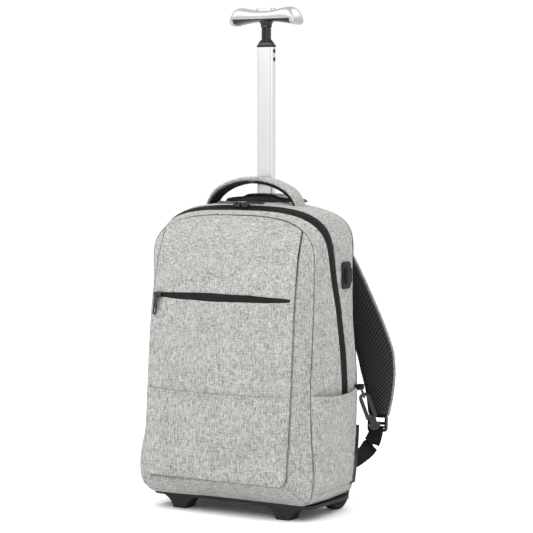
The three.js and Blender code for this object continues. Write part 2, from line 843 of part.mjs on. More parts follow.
// A padded field on the back panel with a ventilation channel down its middle
function backPad(name, z0, z1, cornerShare) {
  const near = backSeamY + clothWall + 2 * seamGap;
  const [columns, rows] = [crowded(10), shares(6)];
  const inner = columns.map((u) => rows.map((v) => {
    const round = 1 - cornerShare * (Math.abs(2 * v - 1) ** 6);
    return vec(u * (padWidth / 2) * round, near, mix(z0, z1, v));
  }));
  const outer = inner.map((row, i) => row.map((p, j) => {
    const [u, v] = [columns[i], rows[j]];
    const crown = (1 - u ** 8) * (1 - Math.abs(2 * v - 1) ** 5);
    const channel = padChannelDepth * Math.exp(-((p.x / (padChannel / 2)) ** 2));
    return p.clone().add(vec(0, padEdge + (padWall - padEdge - channel) * crown, 0));
  }));
  add(name, shell(outer, inner, false), materials.mesh);
}

// A side pocket of cloth that lies on the body along its sides and foot and stands off at its mouth
function sidePockets() {
  const y0 = depthToY(seamDepthAt(0.2)) + sidePocketFrontMargin + clothWall;
  const y1 = backSeamY - sidePocketBackMargin;
  const outer = shares(6).map((s) => shares(6).map((t) => {
    const y = mix(y0, y1, s);
    const z = mix(sidePocketFoot, sidePocketTop, t);
    const puff = sidePocketPuff * Math.sin(Math.PI * s) ** sidePocketRound * t ** sidePocketRise;
    const x = girthAt(z, yToDepth(y)) + 2 * seamGap + clothWall + puff;
    return vec(x, y, z);
  }));
  const inner = outer.map((row) => row.map((p) => p.clone().add(vec(-clothWall, 0, 0))));
  addPair('side_pocket', shell(outer, inner, false), materials.cloth);
}

function basePlate() {
  const half = girthAt(clothFoot + footCorner, 0.5) - sideCrown;
  const front = depthToY(seamDepthAt(0)) + clothWall;
  const shape = roundedShape(half * 2, backSeamY - front, footCorner);
  const plate = extrude(shape, plateWall)
    .translate(0, (front + backSeamY) / 2, clothFoot - seamGap - plateWall);
  add('base_plate', cut(plate, housingRoom(1), housingRoom(-1)), materials.plastic);
}

// A front foot: a plinth that narrows in a hollow curve from the base plate to its flat sole
function frontFeet() {
  const top = clothFoot - plateWall - 2 * seamGap;
  const [w0, w1] = [footSoleWidth / 2, footTopWidth / 2];
  const shape = new THREE.Shape();
  shape.moveTo(-w0, 0);
  shape.lineTo(w0, 0);
  shape.quadraticCurveTo(mix(w0, w1, 0.22), top * 0.72, w1, top);
  shape.lineTo(-w1, top);
  shape.quadraticCurveTo(-mix(w0, w1, 0.22), top * 0.72, -w0, 0);
  const foot = extrude(shape, footSoleDepth, 5).rotateX(Math.PI / 2);
  foot.translate(footSpread, frontSeamY + footSetback + footSoleDepth / 2, 0);
  addPair('front_foot', foot, materials.plastic);
}

const wheelY = backSeamY - wheelInset;
const boreRadius = axleRadius + axleClearance;

function latheX(profile, segments, x) {
  const points = profile.map(([r, h]) => new THREE.Vector2(r, h));
  points.push(points[0].clone());
  return new THREE.LatheGeometry(points, segments).rotateZ(-Math.PI / 2)
    .translate(x, wheelY, wheelRadius);
}

function wheels() {
  const x = wheelSpread;
  const w = wheelWidth / 2;
  const rim = hubRadius + seamGap;
  addPair('wheel_tyre', latheX([
    [rim, -w + 1], [wheelRadius - tyreRound, -w], [wheelRadius, -w + tyreShoulder],
    [wheelRadius, w - tyreShoulder], [wheelRadius - tyreRound, w], [rim, w - 1],
  ], 18, x), materials.rubber);
  const boss = boreRadius + bossWall;
  const hub = latheX([
    [boreRadius, -w], [boss, -w], [boss, -w + hubDish], [hubRadius - hubLip, -w + hubDish],
    [hubRadius - hubLip, -w + 1], [hubRadius, -w + 1], [hubRadius, w - 1],
    [hubRadius - hubLip, w - 1], [hubRadius - hubLip, w - hubDish], [boss, w - hubDish],
    [boss, w], [boreRadius, w],
  ], 14, x);
  const pitch = (boss + hubRadius - hubLip) / 2;
  const holes = Array.from({ length: spokeHoles }, (_, i) => {
    const a = (i / spokeHoles) * 2 * Math.PI;
    return cylinderX(spokeHoleRadius, x - w, x + w, wheelY + pitch * Math.cos(a),
      wheelRadius + pitch * Math.sin(a), 6);
  });
  addPair('wheel_hub', cut(hub, ...holes), materials.plastic);
}

// The plastic housing let into a rear corner, with two cheeks that hold the axle
function wheelHousings() {
  const [x0, x1] = [housing.inner, housing.outer];
  const well = wheelRadius + wheelClearance;
  const corner = housing.top - wheelRadius;
  const low = block(x0, x1, housing.front, housing.back, housing.foot, wheelRadius);
  const high = block(x0, x1, wheelY, housing.back, wheelRadius, housing.top);
  const bow = keep(cylinderX(corner, x0, x1, wheelY, wheelRadius, 24),
    block(x0, x1, housing.front, wheelY + 1, wheelRadius - 1, housing.top));
  const form = join(join(low, high), bow);
  const [c0, c1] = [x0 + cheekWall, x1 - cheekWall];
  const room = join(cylinderX(well, c0, c1, wheelY, wheelRadius, 24),
    block(c0, c1, wheelY, housing.back + 1, housing.foot - 1, wheelRadius + well));
  const below = block(c0, c1, wheelY - well, wheelY + 1, housing.foot - 1, wheelRadius);
  const bore = cylinderX(boreRadius, x0 - 1, x1 + 1, wheelY, wheelRadius, 12);
  addPair('wheel_housing', cut(form, room, below, bore), materials.plastic);
  addPair('wheel_axle', cylinderX(axleRadius, x0, x1, wheelY, wheelRadius, 12),
    materials.aluminium);
}

// A strip of moulded plastic that wraps a rear corner, from the base up along the edge
function cornerGuards() {
  const foot = clothFoot + footCorner;
  const back = backSeamY + clothWall + 2 * seamGap;
  const rows = shares(6).map((t) => {
    const z = mix(foot, guardTop, t);
    const leg = guardLeg * mix(1, guardTaper, t);
    const edge = girthAt(z, 1);
    const level = (offset) => [
      vec(girthAt(z, yToDepth(backSeamY - leg)) + offset, backSeamY - leg, z),
      vec(edge + offset, backSeamY, z),
      vec(edge + offset, back + offset - seamGap, z),
      vec(edge - leg, back + offset - seamGap, z),
    ];
    return { outer: level(seamGap + guardWall), inner: level(seamGap) };
  });
  addPair('corner_guard', shell(rows.map((r) => r.outer), rows.map((r) => r.inner), false),
    materials.plastic);
}

function trolley() {
  const sleeveFoot = clothFoot + clothWall + seamGap;
  const inside = 2 * slideClearance;
  const bore = (z0, z1) => upright(postWidth + inside, postDepth + inside,
    postCorner + slideClearance, postY, z0, z1);
  const full = inside + 2 * sleeveWall;
  const sleeveTop = bodyTop - clothWall - seamGap;
  add('trolley_sleeve', cut(upright(postWidth + full, postDepth + full, postCorner + full / 2,
    postY, sleeveFoot, sleeveTop), bore(sleeveFoot + sleeveWall, sleeveTop + 1)),
  materials.aluminium);

  const bezel = bezelSolid();
  add('trolley_housing', cut(bezel, bore(bodyTop - 10, bodyTop + bezelRise * 2)),
    materials.plastic);

  const w = 2 * postWall;
  const foot = bodyTop - postInside;
  const plugZ = [postTop - plugDrop, postTop - plugDrop - plugPitch];
  const plugHoles = plugZ.map((z) => cylinderX(plugRadius + seamGap, postWidth / 2 - postWall - 1,
    postWidth / 2 + 1, postY, z, 12));
  add('post_tube', cut(upright(postWidth, postDepth, postCorner, postY, foot, postTop),
    upright(postWidth - w, postDepth - w, postCorner - postWall, postY, foot - 1, postTop + 1),
    ...plugHoles), materials.aluminium);
  ['upper', 'lower'].forEach((label, i) => {
    add(`post_plug_${label}`, cylinderX(plugRadius, postWidth / 2 - postWall, postWidth / 2,
      postY, plugZ[i], 12), materials.plastic);
  });

  const stageHole = (z0, z1) => upright(stageWidth + inside, stageDepth + inside,
    stageCorner + slideClearance, postY, z0, z1);
  const rimTop = postTop + seamGap + collarRim;
  const rim = upright(postWidth + 2 * collarOverhang, postDepth + 2 * collarOverhang,
    postCorner + collarOverhang, postY, postTop + seamGap, rimTop);
  const ring = (grow, z) => roundedOutline(postWidth + grow, postDepth + grow, postCorner)
    .map((p) => vec(p.x, postY + p.y, z));
  const dome = loft([ring(-collarStep, rimTop - seamGap),
    ring(-2 * collarStep, rimTop + collarRise * 0.4),
    ring(-collarTaper * 0.8, rimTop + collarRise * 0.8),
    ring(-collarTaper, rimTop + collarRise)]);
  add('post_collar', cut(join(rim, dome), stageHole(postTop - 1, rimTop + collarRise + 1)),
    materials.plastic);

  const stageFoot = postTop - stageTravel - stageOverlap;
  const groove = (y) => block(-stageGroove, stageGroove, y - grooveDepth, y + grooveDepth,
    stageFoot - 1, gripUnderside + 1);
  const stage = upright(stageWidth, stageDepth, stageCorner, postY, stageFoot,
    gripUnderside - seamGap);
  add('inner_stage', cut(stage, groove(postY - stageDepth / 2), groove(postY + stageDepth / 2)),
    materials.plastic);
}

// The highest level of the cloth under the bezel
function bezelSeat() {
  const levels = shares(10).map((t) => topAt(yToDepth(postY + (t - 0.5) * bezelDepth)));
  return Math.max(...levels) + seamGap;
}

// The black bezel on the bag's top: a low plinth that rises towards the post
function bezelSolid() {
  const rise = [
    { along: 0, height: 1 }, { along: 0.35, height: 0.93 }, { along: 0.5, height: 0.62 },
    { along: 0.8, height: 0.5 }, { along: 0.96, height: 0.36 }, { along: 1, height: 0.2 },
  ];
  const half = [...rise].reverse().map((r) => ({ ...r, side: -1 }));
  const rows = [...half, ...rise.slice(1).map((r) => ({ ...r, side: 1 }))];
  const foot = bezelSeat();
  const across = [
    { y: -1, top: 0.55 }, { y: -0.86, top: 0.92 }, { y: 0, top: 1 }, { y: 0.86, top: 0.92 },
    { y: 1, top: 0.55 },
  ];
  const point = (r, a, top) => {
    const x = r.side * r.along * bezelWidth / 2;
    const narrow = 1 - 0.35 * r.along ** 8;
    return vec(x, postY + a.y * narrow * bezelDepth / 2, top ? foot + bezelRise * r.height * a.top
      : foot);
  };
  const outer = rows.map((r) => across.map((a) => point(r, a, true)));
  const inner = rows.map((r) => across.map((a) => point(r, a, false)));
  return shell(outer, inner, false);
}

// The grip's whole form: oval sections along X, with a saddle on top and rounded ends
function gripForm() {
  const half = gripLength / 2;
  const rows = [...gripSections].reverse().map((r) => ({ ...r, side: -1 }))
    .concat(gripSections.slice(1).map((r) => ({ ...r, side: 1 })));
  return loft(rows.map((r) => {
    const x = r.side * r.along * half;
    const top = gripUnderside + gripSaddle + gripHump * r.top;
    const under = gripUnderside - gripDroop * r.under;
    const [c, h, d] = [(top + under) / 2, (top - under) / 2, (gripDepth / 2) * r.depth];
    return Array.from({ length: 12 }, (_, k) => {
      const a = (k / 12) * 2 * Math.PI;
      const round = (v) => Math.sign(v) * Math.abs(v) ** 0.8;
      return vec(x, postY + d * round(Math.cos(a)), c + h * round(Math.sin(a)));
    });
  }));
}

function grip() {
  const form = gripForm();
  const split = gripUnderside + shellSplit;
  const reach = gripLength / 2 - shellSkirt;
  const far = gripLength;
  const core = (g) => block(-reach + g, reach - g, postY - far, postY + far,
    gripUnderside - far, split - g);
  const crest = gripUnderside + gripSaddle;
  const well = upright(buttonLength + 2 * buttonClearance, buttonDepth + 2 * buttonClearance,
    buttonDepth / 2, postY, crest - buttonWell, crest + far);
  add('grip_shell', cut(form, core(0), well), materials.satin);
  const ring = (w, d, z, round = 0.35) => roundedOutline(w, d, Math.min(w, d) * round)
    .map((p) => vec(p.x, postY + p.y, z));
  const neckFoot = gripUnderside - neckDrop;
  const neck = loft([ring(stageWidth + neckWaist, stageDepth + neckWaist, neckFoot),
    ring(stageWidth + 2 * neckWaist, stageDepth + 2 * neckWaist, gripUnderside - neckWaist),
    ring(stageWidth + neckFlareWidth, stageDepth + neckFlareDepth, split - seamGap)]);
  const socket = upright(stageWidth + 2 * seamGap, stageDepth + 2 * seamGap, stageCorner, postY,
    neckFoot - 1, gripUnderside);
  add('grip_body', cut(join(keep(form, core(seamGap)), neck), socket), materials.plastic);
  const button = upright(buttonLength, buttonDepth, buttonDepth / 2 - buttonClearance, postY,
    crest - buttonWell + buttonProud + seamGap, crest + buttonLift);
  const cap = loft([0.99, 0.9, 0.6].map((share, i) => ring(buttonLength * share,
    buttonDepth * share, mix(crest + buttonLift, crest + buttonProud, i / 2), 0.5)));
  add('grip_button', join(button, cap), materials.satin);
}

// A flat section with rounded edges, between two distances along the frame's facing direction
function strapSection(frame, width, near, far) {
  const w = width / 2;
  const round = Math.min((far - near) * 0.42, w * 0.4);
  const corners = [
    [-w, near + round], [-w + round, near], [w - round, near], [w, near + round],
    [w, far - round], [w - round, far], [-w + round, far], [-w, far - round],
  ];
  return corners.map(([a, b]) => frame.centre.clone().addScaledVector(frame.across, a)
    .addScaledVector(frame.facing, b));
}

// Frames along a curve: its centre, the direction across the strap, and the way the strap faces.
// Level frames are cut straight across, and the others square to the curve.
function framesAlong(points, acrossAt, count, level) {
  const curve = new THREE.CatmullRomCurve3(points, false, 'centripetal');
  return shares(count).map((t) => {
    const tangent = curve.getTangent(t);
    const facing = tangent.clone().cross(acrossAt(t)).normalize();
    const across = level ? acrossAt(t) : facing.clone().cross(tangent).normalize();
    return { centre: curve.getPoint(t), across, facing, tangent, t };
  });
}

// The right shoulder strap: its padded side faces the bag, its cloth side faces away
function shoulderStraps() {
  const rear = backSeamY + clothWall + strapPadWall + 2 * seamGap;
  const line = strapLine.map((row) => vec(strapStartX + strapReach * row.out,
    rear + strapStand * row.stand, strapTopZ - strapDrop * row.drop));
  const frames = framesAlong(line, () => vec(1, 0, 0), 12, true);
  const last = strapLine.length - 1;
  const widthAt = (t) => {
    const i = Math.min(Math.floor(t * last), last - 1);
    return strapWidth * mix(strapLine[i].width, strapLine[i + 1].width, t * last - i);
  };
  const layer = (near, far, lap) => loft(frames.map((f) => strapSection(f,
    widthAt(f.t) + lap, near, far)));
  addPair('strap_pad', layer(0, strapPadWall, 0), materials.mesh);
  addPair('strap_cover', layer(-seamGap - strapCoverWall, -seamGap, 2 * strapCoverLap),
    materials.cloth);
  return frames[frames.length - 1];
}

// Moves a geometry from its own frame to an origin and two axes
function placed(geometry, origin, xAxis, yAxis) {
  const x = xAxis.clone().normalize();
  const z = x.clone().cross(yAxis).normalize();
  const y = z.clone().cross(x);
  const matrix = new THREE.Matrix4().makeBasis(x, y, z).setPosition(origin);
  return geometry.applyMatrix4(matrix);
}

// The ladder lock at a strap's end, a flat frame with two slots, and the webbing that comes out
// of its lower slot and runs to the bag's rear edge
function strapFittings(end) {
  const down = end.tangent.clone();
  const lockCentre = end.centre.clone().addScaledVector(down, lockLength / 2 + 3 * seamGap)
    .addScaledVector(end.facing, strapPadWall / 2);
  const w = lockWidth / 2 - lockRail;
  const slot = (side) => {
    const [a, b] = [side * (lockBar / 2), side * (lockLength / 2 - lockBar)];
    return block(Math.min(a, b), Math.max(a, b), -w, w, -lockWall, lockWall);
  };
  const frame = extrude(roundedShape(lockLength, lockWidth, lockBar), lockWall)
    .translate(0, 0, -lockWall / 2);
  addPair('ladder_lock', placed(cut(frame, slot(-1), slot(1)), lockCentre, down, end.across),
    materials.plastic);

  const at = (alongLock, facing) => lockCentre.clone().addScaledVector(down, alongLock)
    .addScaledVector(end.facing, facing);
  const slotMiddle = (lockBar / 2 + lockLength / 2 - lockBar) / 2;
  const off = lockWall / 2 + webbingWall;
  const edgeX = girthAt(guardTop / 2, 1);
  const seat = backSeamY + clothWall + guardWall + webbingWall / 2 + 5 * seamGap;
  const line = [
    at(slotMiddle - webbingWall / 2, -off), at(slotMiddle, 0),
    at(slotMiddle + 2 * webbingWall, off + webbingWall),
    at(lockLength / 2 + 2.5 * webbingWall, off + 1.25 * webbingWall),
    vec(edgeX + webbingSlack * 0.7, seat + webbingSlack, guardTop * 0.68),
    vec(edgeX, seat + webbingSlack * 0.4, guardTop * 0.6),
    vec(edgeX - guardLeg * 0.7, seat + 2 * seamGap, guardTop * 0.56),
  ];
  const acrossAt = (t) => end.across.clone().lerp(vec(0.15, 0, 1), clamp((t - 0.35) / 0.35, 0, 1));
  addPair('strap_webbing', loft(framesAlong(line, acrossAt, 10)
    .map((f) => strapSection(f, webbingWidth, -webbingWall / 2, webbingWall / 2))),
  materials.webbing);
}

// The ring in its cloth tab at the rear edge, and the snap hook that hangs from it
function hookAndRing() {
  const down = vec(...hookLine).normalize();
  const level = vec(...hookAcross);
  const across = level.clone().sub(down.clone().multiplyScalar(level.dot(down))).normalize();
  const facing = down.clone().cross(across);
  const tabZ = sidePocketTop;
  const wallX = girthAt(tabZ, yToDepth(backSeamY - tabDepth)) + seamGap;
  const ringCentre = vec(wallX + ringRadius * ringOut, backSeamY + ringRadius * ringBack,
    tabZ - ringRadius * ringDrop);
  const torus = (wire, sides) => placed(new THREE.TorusGeometry(ringRadius, wire, sides, 14),
    ringCentre, down, facing);
  addPair('d_ring', torus(ringWire, 5), materials.zinc);
  const top = ringCentre.clone().addScaledVector(down, -ringRadius);
  const tab = block(wallX, top.x + tabHalf, backSeamY - tabDepth, top.y + tabHalf,
    top.z - tabHalf, top.z + tabHalf);
  addPair('ring_tab', cut(tab, torus(ringWire + 2 * seamGap, 6)), materials.webbing);

  const start = ringRadius - ringWire - hookBar - seamGap * 2;
  const body = extrude(roundedShape(hookLength, hookWidth, hookWidth * 0.42), hookWall)
    .translate(hookLength / 2 + start, 0, -hookWall / 2);
  const eye = block(start + hookBar, start + hookLength * hookEyeShare, -hookSlot / 2, hookSlot / 2,
    -hookWall, hookWall);
  const waist = (side) => block(start + hookLength * hookWaistFrom, start + hookLength * hookWaistTo,
    side > 0 ? hookWidth * 0.3 : -hookWidth, side > 0 ? hookWidth : -hookWidth * 0.3,
    -hookWall, hookWall);
  addPair('snap_hook', placed(cut(body, eye, waist(1), waist(-1)), ringCentre, down, across),
    materials.plastic);
}

function usbOutlet() {
  const y = backSeamY - usbInset;
  const reach = [-0.5, 0, 0.5];
  const wallX = Math.max(...reach.flatMap((a) => reach.map((b) => girthAt(
    usbCentreZ + a * usbHeight, yToDepth(y + b * usbDepth)))));
  const slab = (w, h, r, wall, x) => extrude(roundedShape(w, h, r), wall, 3)
    .rotateX(Math.PI / 2).rotateZ(Math.PI / 2).translate(x, y, usbCentreZ);
  add('usb_base', slab(usbDepth, usbHeight, usbCorner, usbWall, wallX + seamGap), materials.rubber);
  add('usb_cap', slab(usbDepth * usbCapShare, usbHeight * usbCapShare, usbCapCorner, usbCapRise,
    wallX + usbWall + 2 * seamGap), materials.rubber);
}

function carryHandle() {
  const y = backSeamY - handleSetback;
  const last = 12;
  const path = shares(last).map((t) => {
    const s = 2 * t - 1;
    return vec(s * handleSpan / 2, y, handleRise * Math.max(1 - s * s, 0) ** handleArch);
  });
  const frames = path.map((p, i) => {
    const a = path[Math.max(i - 1, 0)];
    const b = path[Math.min(i + 1, path.length - 1)];
    const tangent = b.clone().sub(a).normalize();
    return { centre: p, across: vec(0, 1, 0), facing: vec(-tangent.z, 0, tangent.x), t: i / last };
  });
  const full = (t) => Math.min(1, handleEnd + 4 * Math.min(t, 1 - t));
  const pad = loft(frames.map((f) => strapSection(f, handleWidth, 0, handlePadWall * full(f.t))));
  const base = loft(frames.map((f) => strapSection(f, handleWidth - handleHem,
    -seamGap - handleBaseWall * full(f.t), -seamGap)));
  base.computeBoundingBox();
  const seat = topEdgeAt(handleSpan / 2 - handleBaseWall, yToDepth(y)) + seamGap;
  const lift = seat - base.boundingBox.min.z;
  add('carry_handle_pad', pad.translate(0, 0, lift), materials.cloth);
  add('carry_handle_base', base.translate(0, 0, lift), materials.webbing);
}

// A zip slider and its flat puller with a finger hole, in the slider's own frame: the slider runs
// along X and lies on the plane Z = 0, and the puller lies along +X from the slider's bail
function sliderForm() {
  const shape = roundedShape(sliderLength, sliderWidth, 3);
  return extrude(shape, sliderHeight);
}

function pullerForm(length) {
  const strip = extrude(roundedShape(length, pullerWidth, pullerWidth / 2), pullerWall)
    .translate(length / 2, 0, 0);
  const hole = extrude(roundedShape(pullerWidth * 1.2, pullerWidth * 0.5, pullerWidth * 0.25),
    pullerWall * 3).translate(length - pullerWidth, 0, -pullerWall);
  return cut(strip, hole);
}

function zipPulls() {
  const x = -mouthLength / 2 + sliderLength / 2;
  const reach = [-0.5, 0.5];
  const face = Math.min(...reach.flatMap((a) => reach.map((b) => panelY(
    x + a * sliderLength, mouthLevel + b * sliderWidth)))) - seamGap;
  const out = vec(0, -1, 0);
  const place = (geometry, origin, along) => {
    const across = out.clone().cross(along);
    return placed(geometry, origin, along, across);
  };
  add('front_slider', place(sliderForm(), vec(x, face, mouthLevel), vec(1, 0, 0)), materials.zinc);
  const hang = vec(x - frontPullerBail, face - sliderHeight - seamGap, mouthLevel);
  add('front_puller', place(pullerForm(frontPullerLength), hang, vec(-frontPullerLean, 0, -1)),
    materials.zinc);

  const station = { zone: 'top', f: 1, side: 1 };
  const depth = zipDepth(station);
  const top = wallPoint(station, depth).z + coilRise;
  const before = wallPoint(station, depth - 0.03);
  const after = wallPoint(station, depth + 0.03);
  const slope = after.sub(before).normalize();
  const up = vec(1, 0, 0).cross(slope).normalize();
  ['left', 'right'].forEach((label, i) => {
    const side = i === 0 ? -1 : 1;
    const centre = vec(side * (sliderLength / 2 + 0.5), depthToY(depth), top)
      .addScaledVector(up, seamGap);
    const along = vec(side, 0, 0);
    add(`top_slider_${label}`, placed(sliderForm(), centre, along, up.clone().cross(along)),
      materials.zinc);
    const start = centre.clone().addScaledVector(up, sliderHeight + seamGap);
    add(`top_puller_${label}`, placed(pullerForm(topPullerLength), start, along,
      up.clone().cross(along)), materials.zinc);
  });
}

frontPanel();
frontZipper();
slipPocket();
pocketGusset();
bodyWalls();
backPanel();
backPad('back_pad', backPadFoot, backPadTop, backPadCorner);
backPad('lumbar_pad', lumbarFoot, lumbarTop, lumbarPadCorner);
sidePockets();
basePlate();
frontFeet();
wheels();
wheelHousings();
cornerGuards();
trolley();
grip();
carryHandle();
strapFittings(shoulderStraps());
hookAndRing();
usbOutlet();
zipPulls();

// The origin is the middle of the whole object's foot
const extent = new THREE.Box3().setFromObject(bag);
const middle = extent.getCenter(new THREE.Vector3());
bag.position.set(-middle.x, -middle.y, -extent.min.z);

export default bag;
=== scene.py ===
import json
import math

import bmesh
import bpy
import numpy as np
from mathutils import Matrix, Vector, noise

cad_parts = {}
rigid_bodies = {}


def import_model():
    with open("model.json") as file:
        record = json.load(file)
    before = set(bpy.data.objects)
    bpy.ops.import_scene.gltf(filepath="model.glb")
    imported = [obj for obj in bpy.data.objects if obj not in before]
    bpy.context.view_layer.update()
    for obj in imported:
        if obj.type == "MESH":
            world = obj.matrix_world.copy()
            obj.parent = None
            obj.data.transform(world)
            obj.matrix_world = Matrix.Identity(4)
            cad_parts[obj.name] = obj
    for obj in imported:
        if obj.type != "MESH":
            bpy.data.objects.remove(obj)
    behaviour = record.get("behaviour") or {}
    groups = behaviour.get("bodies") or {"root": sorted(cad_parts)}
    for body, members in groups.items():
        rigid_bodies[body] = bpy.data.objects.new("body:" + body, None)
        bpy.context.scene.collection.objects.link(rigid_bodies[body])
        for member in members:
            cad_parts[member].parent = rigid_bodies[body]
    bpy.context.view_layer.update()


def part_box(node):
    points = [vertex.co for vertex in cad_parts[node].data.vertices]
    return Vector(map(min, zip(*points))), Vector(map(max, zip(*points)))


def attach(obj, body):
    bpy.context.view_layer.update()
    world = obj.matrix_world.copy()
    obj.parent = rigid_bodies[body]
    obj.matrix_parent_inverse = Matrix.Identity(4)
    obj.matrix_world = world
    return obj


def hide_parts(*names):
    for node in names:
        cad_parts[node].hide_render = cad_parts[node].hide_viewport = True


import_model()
MM = 0.001

# Soft body, in millimetres
BODY_WIDTH = 286.0
BODY_TOP = 470.0
BODY_DEPTH = 128.0
CLOTH_FOOT = 25.0
CLOTH_WALL = 2.5
SEAM_GAP = 0.3
TOP_CORNER = 66.0
TOP_SQUARENESS = 3.0
FOOT_CORNER = 18.0
SIDE_CROWN = 4.0
FRONT_SEAM_Y = -50.0
BACK_SEAM_Y = FRONT_SEAM_Y + BODY_DEPTH
BODY_HEIGHT = BODY_TOP - CLOTH_FOOT

# Front pocket
POCKET_STAND = 38.0
PANEL_WIDTH = 256.0
PANEL_FOOT = CLOTH_FOOT + 32.0
PANEL_CORNER = 14.0
PANEL_CROWN = 6.0
GUSSET_TOP_SHARE = 0.9985
SLIP_WALL = 1.6
SLIP_GAP = 0.6
SLIP_TOP = 187.0
MOUTH_LENGTH = 240.0
MOUTH_HEIGHT = 10.5
MOUTH_TIP_HEIGHT = 1.2
MOUTH_LEVEL = 331.0

# The post stands behind the middle of the bag; its opening in the top is given as half sizes
POST_Y = BACK_SEAM_Y - 20.0
POST_OPENING = (17.5, 9.5)
POST_WIDTH = 29.0
POST_DEPTH = 14.0
POST_CORNER = 5.0
POST_WALL = 1.6
POST_RISE = 238.0
POST_INSIDE = 60.0
PLUG_DROPS = (6.0, 18.5)

# Main zip
TAPE_WIDTH = 17.0
TAPE_FOOT = 150.0
TAPE_FADE = 25.0

FORWARD = (0, -1, 0)
REARWARD = (0, 1, 0)

# The bag's own middle lies behind its origin in the frame
SHIFT_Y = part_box("back_panel")[0].y / MM - SEAM_GAP - BACK_SEAM_Y


def table(columns, *rows):
    """A short table of numbers with named columns."""
    return {name: np.array([row[i] for row in rows], float) for i, name in enumerate(columns.split())}


# How the body's half width follows its height, at the front seam and at the back seam
BODY_GIRTH = table(
    "height front back",
    (0.0, 1.0, 0.97),
    (0.09, 1.045, 1.01),
    (0.2, 1.025, 1.035),
    (0.37, 1.0, 1.05),
    (0.5, 1.0, 1.03),
    (0.62, 1.0, 1.0),
    (1.0, 1.0, 1.0),
)

# How the top of the body rises from the front seam (depth 0) to the back seam (depth 1)
TOP_RISE = table(
    "depth height",
    (-0.1, 0.93),
    (0.13, 0.962),
    (0.27, 0.985),
    (0.4, 0.998),
    (0.5, 1.0),
    (0.85, 1.0),
    (1.0, 0.992),
)

# Where the front body seam lies, as a share of the body's depth
FRONT_SEAM = table(
    "height depth",
    (0.0, -0.03),
    (0.37, -0.01),
    (0.54, 0.02),
    (0.75, 0.06),
    (0.92, 0.065),
    (0.96, 0.085),
    (1.0, 0.13),
)

# Where the middle of the main zip lies, as a share of the body's depth
ZIP_RUN = table(
    "height depth",
    (0.0, 0.71),
    (0.4, 0.705),
    (0.52, 0.68),
    (0.63, 0.63),
    (0.75, 0.51),
    (0.85, 0.43),
    (0.94, 0.33),
    (1.0, 0.3),
)

# The front panel, from its foot seam (height 0) to the front body seam (height 1)
PANEL_SHAPE = table(
    "height width stand",
    (0.0, 0.985, 1.0),
    (0.12, 0.995, 0.93),
    (0.34, 1.0, 0.79),
    (0.72, 0.99, 0.66),
    (0.88, 0.97, 0.36),
    (1.0, 0.955, 0.0),
)

# Dents in the cloth of the sides, in shares of the body's height and depth
SIDE_DENTS = table(
    "side height depth radius sink",
    (1, 0.07, 0.12, 0.13, 0.018),
    (1, 0.15, 0.3, 0.16, 0.014),
    (1, 0.47, 0.35, 0.3, 0.016),
    (-1, 0.1, 0.25, 0.2, 0.014),
    (-1, 0.5, 0.4, 0.3, 0.018),
)

# Dents in the front panel, in shares of its half width and height
PANEL_DENTS = table(
    "across height radius sink",
    (-0.3, 0.62, 0.34, 0.02),
    (0.45, 0.45, 0.3, 0.016),
    (0.78, 0.1, 0.2, 0.022),
    (-0.55, 0.16, 0.3, 0.014),
)


def read(rows, key, column, at):
    """The value of a column at a key, on a smooth curve through the table's rows."""
    x, y = rows[key], rows[column]
    last = len(x) - 1
    slopes = np.array([
        (y[min(j + 1, last)] - y[max(j - 1, 0)]) / (x[min(j + 1, last)] - x[max(j - 1, 0)])
        for j in range(last + 1)
    ])
    at = np.clip(np.asarray(at, float), x[0], x[-1])
    i = np.clip(np.searchsorted(x, at, side="right") - 1, 0, last - 1)
    span = x[i + 1] - x[i]
    t = (at - x[i]) / span
    return (
        (2 * t**3 - 3 * t**2 + 1) * y[i]
        + (t**3 - 2 * t**2 + t) * span * slopes[i]
        + (3 * t**2 - 2 * t**3) * y[i + 1]
        + (t**3 - t**2) * span * slopes[i + 1]
    )


def mix(a, b, t):
    return a + (b - a) * t


def smooth(t):
    t = np.clip(t, 0, 1)
    return t * t * (3 - 2 * t)


def depth_to_y(depth):
    return FRONT_SEAM_Y + BODY_DEPTH * depth


def y_to_depth(y):
    return (y - FRONT_SEAM_Y) / BODY_DEPTH


def top_at(depth):
    return CLOTH_FOOT + BODY_HEIGHT * read(TOP_RISE, "depth", "height", depth)


def girth(z, depth):
    """The body's half width at a height and a depth, below its rounded top corners."""
    height = (z - CLOTH_FOOT) / BODY_HEIGHT
    front = read(BODY_GIRTH, "height", "front", height)
    back = read(BODY_GIRTH, "height", "back", height)
    d = np.clip(depth, 0, 1)
    return BODY_WIDTH / 2 * mix(front, back, d) + SIDE_CROWN * 4 * d * (1 - d)


def corner_share(share):
    """The superellipse of the top corners: rise against run, both from 0 to 1."""
    return (1 - np.clip(share, 0, 1) ** TOP_SQUARENESS) ** (1 / TOP_SQUARENESS)


def half_width(z, depth):
    shoulder = top_at(depth) - TOP_CORNER
    rise = np.clip((z - shoulder) / TOP_CORNER, 0, 1)
    return np.where(z <= shoulder, girth(z, depth), girth(shoulder, depth) * corner_share(rise))


def top_edge(x, depth):
    shoulder = top_at(depth) - TOP_CORNER
    return shoulder + TOP_CORNER * corner_share(np.abs(x) / girth(shoulder, depth))


def seam_depth(height):
    return read(FRONT_SEAM, "height", "depth", height)


SEAM_PLANE = 0.06


def seam_depth_at(z):
    return seam_depth((z - CLOTH_FOOT) / (top_at(SEAM_PLANE) - CLOTH_FOOT))


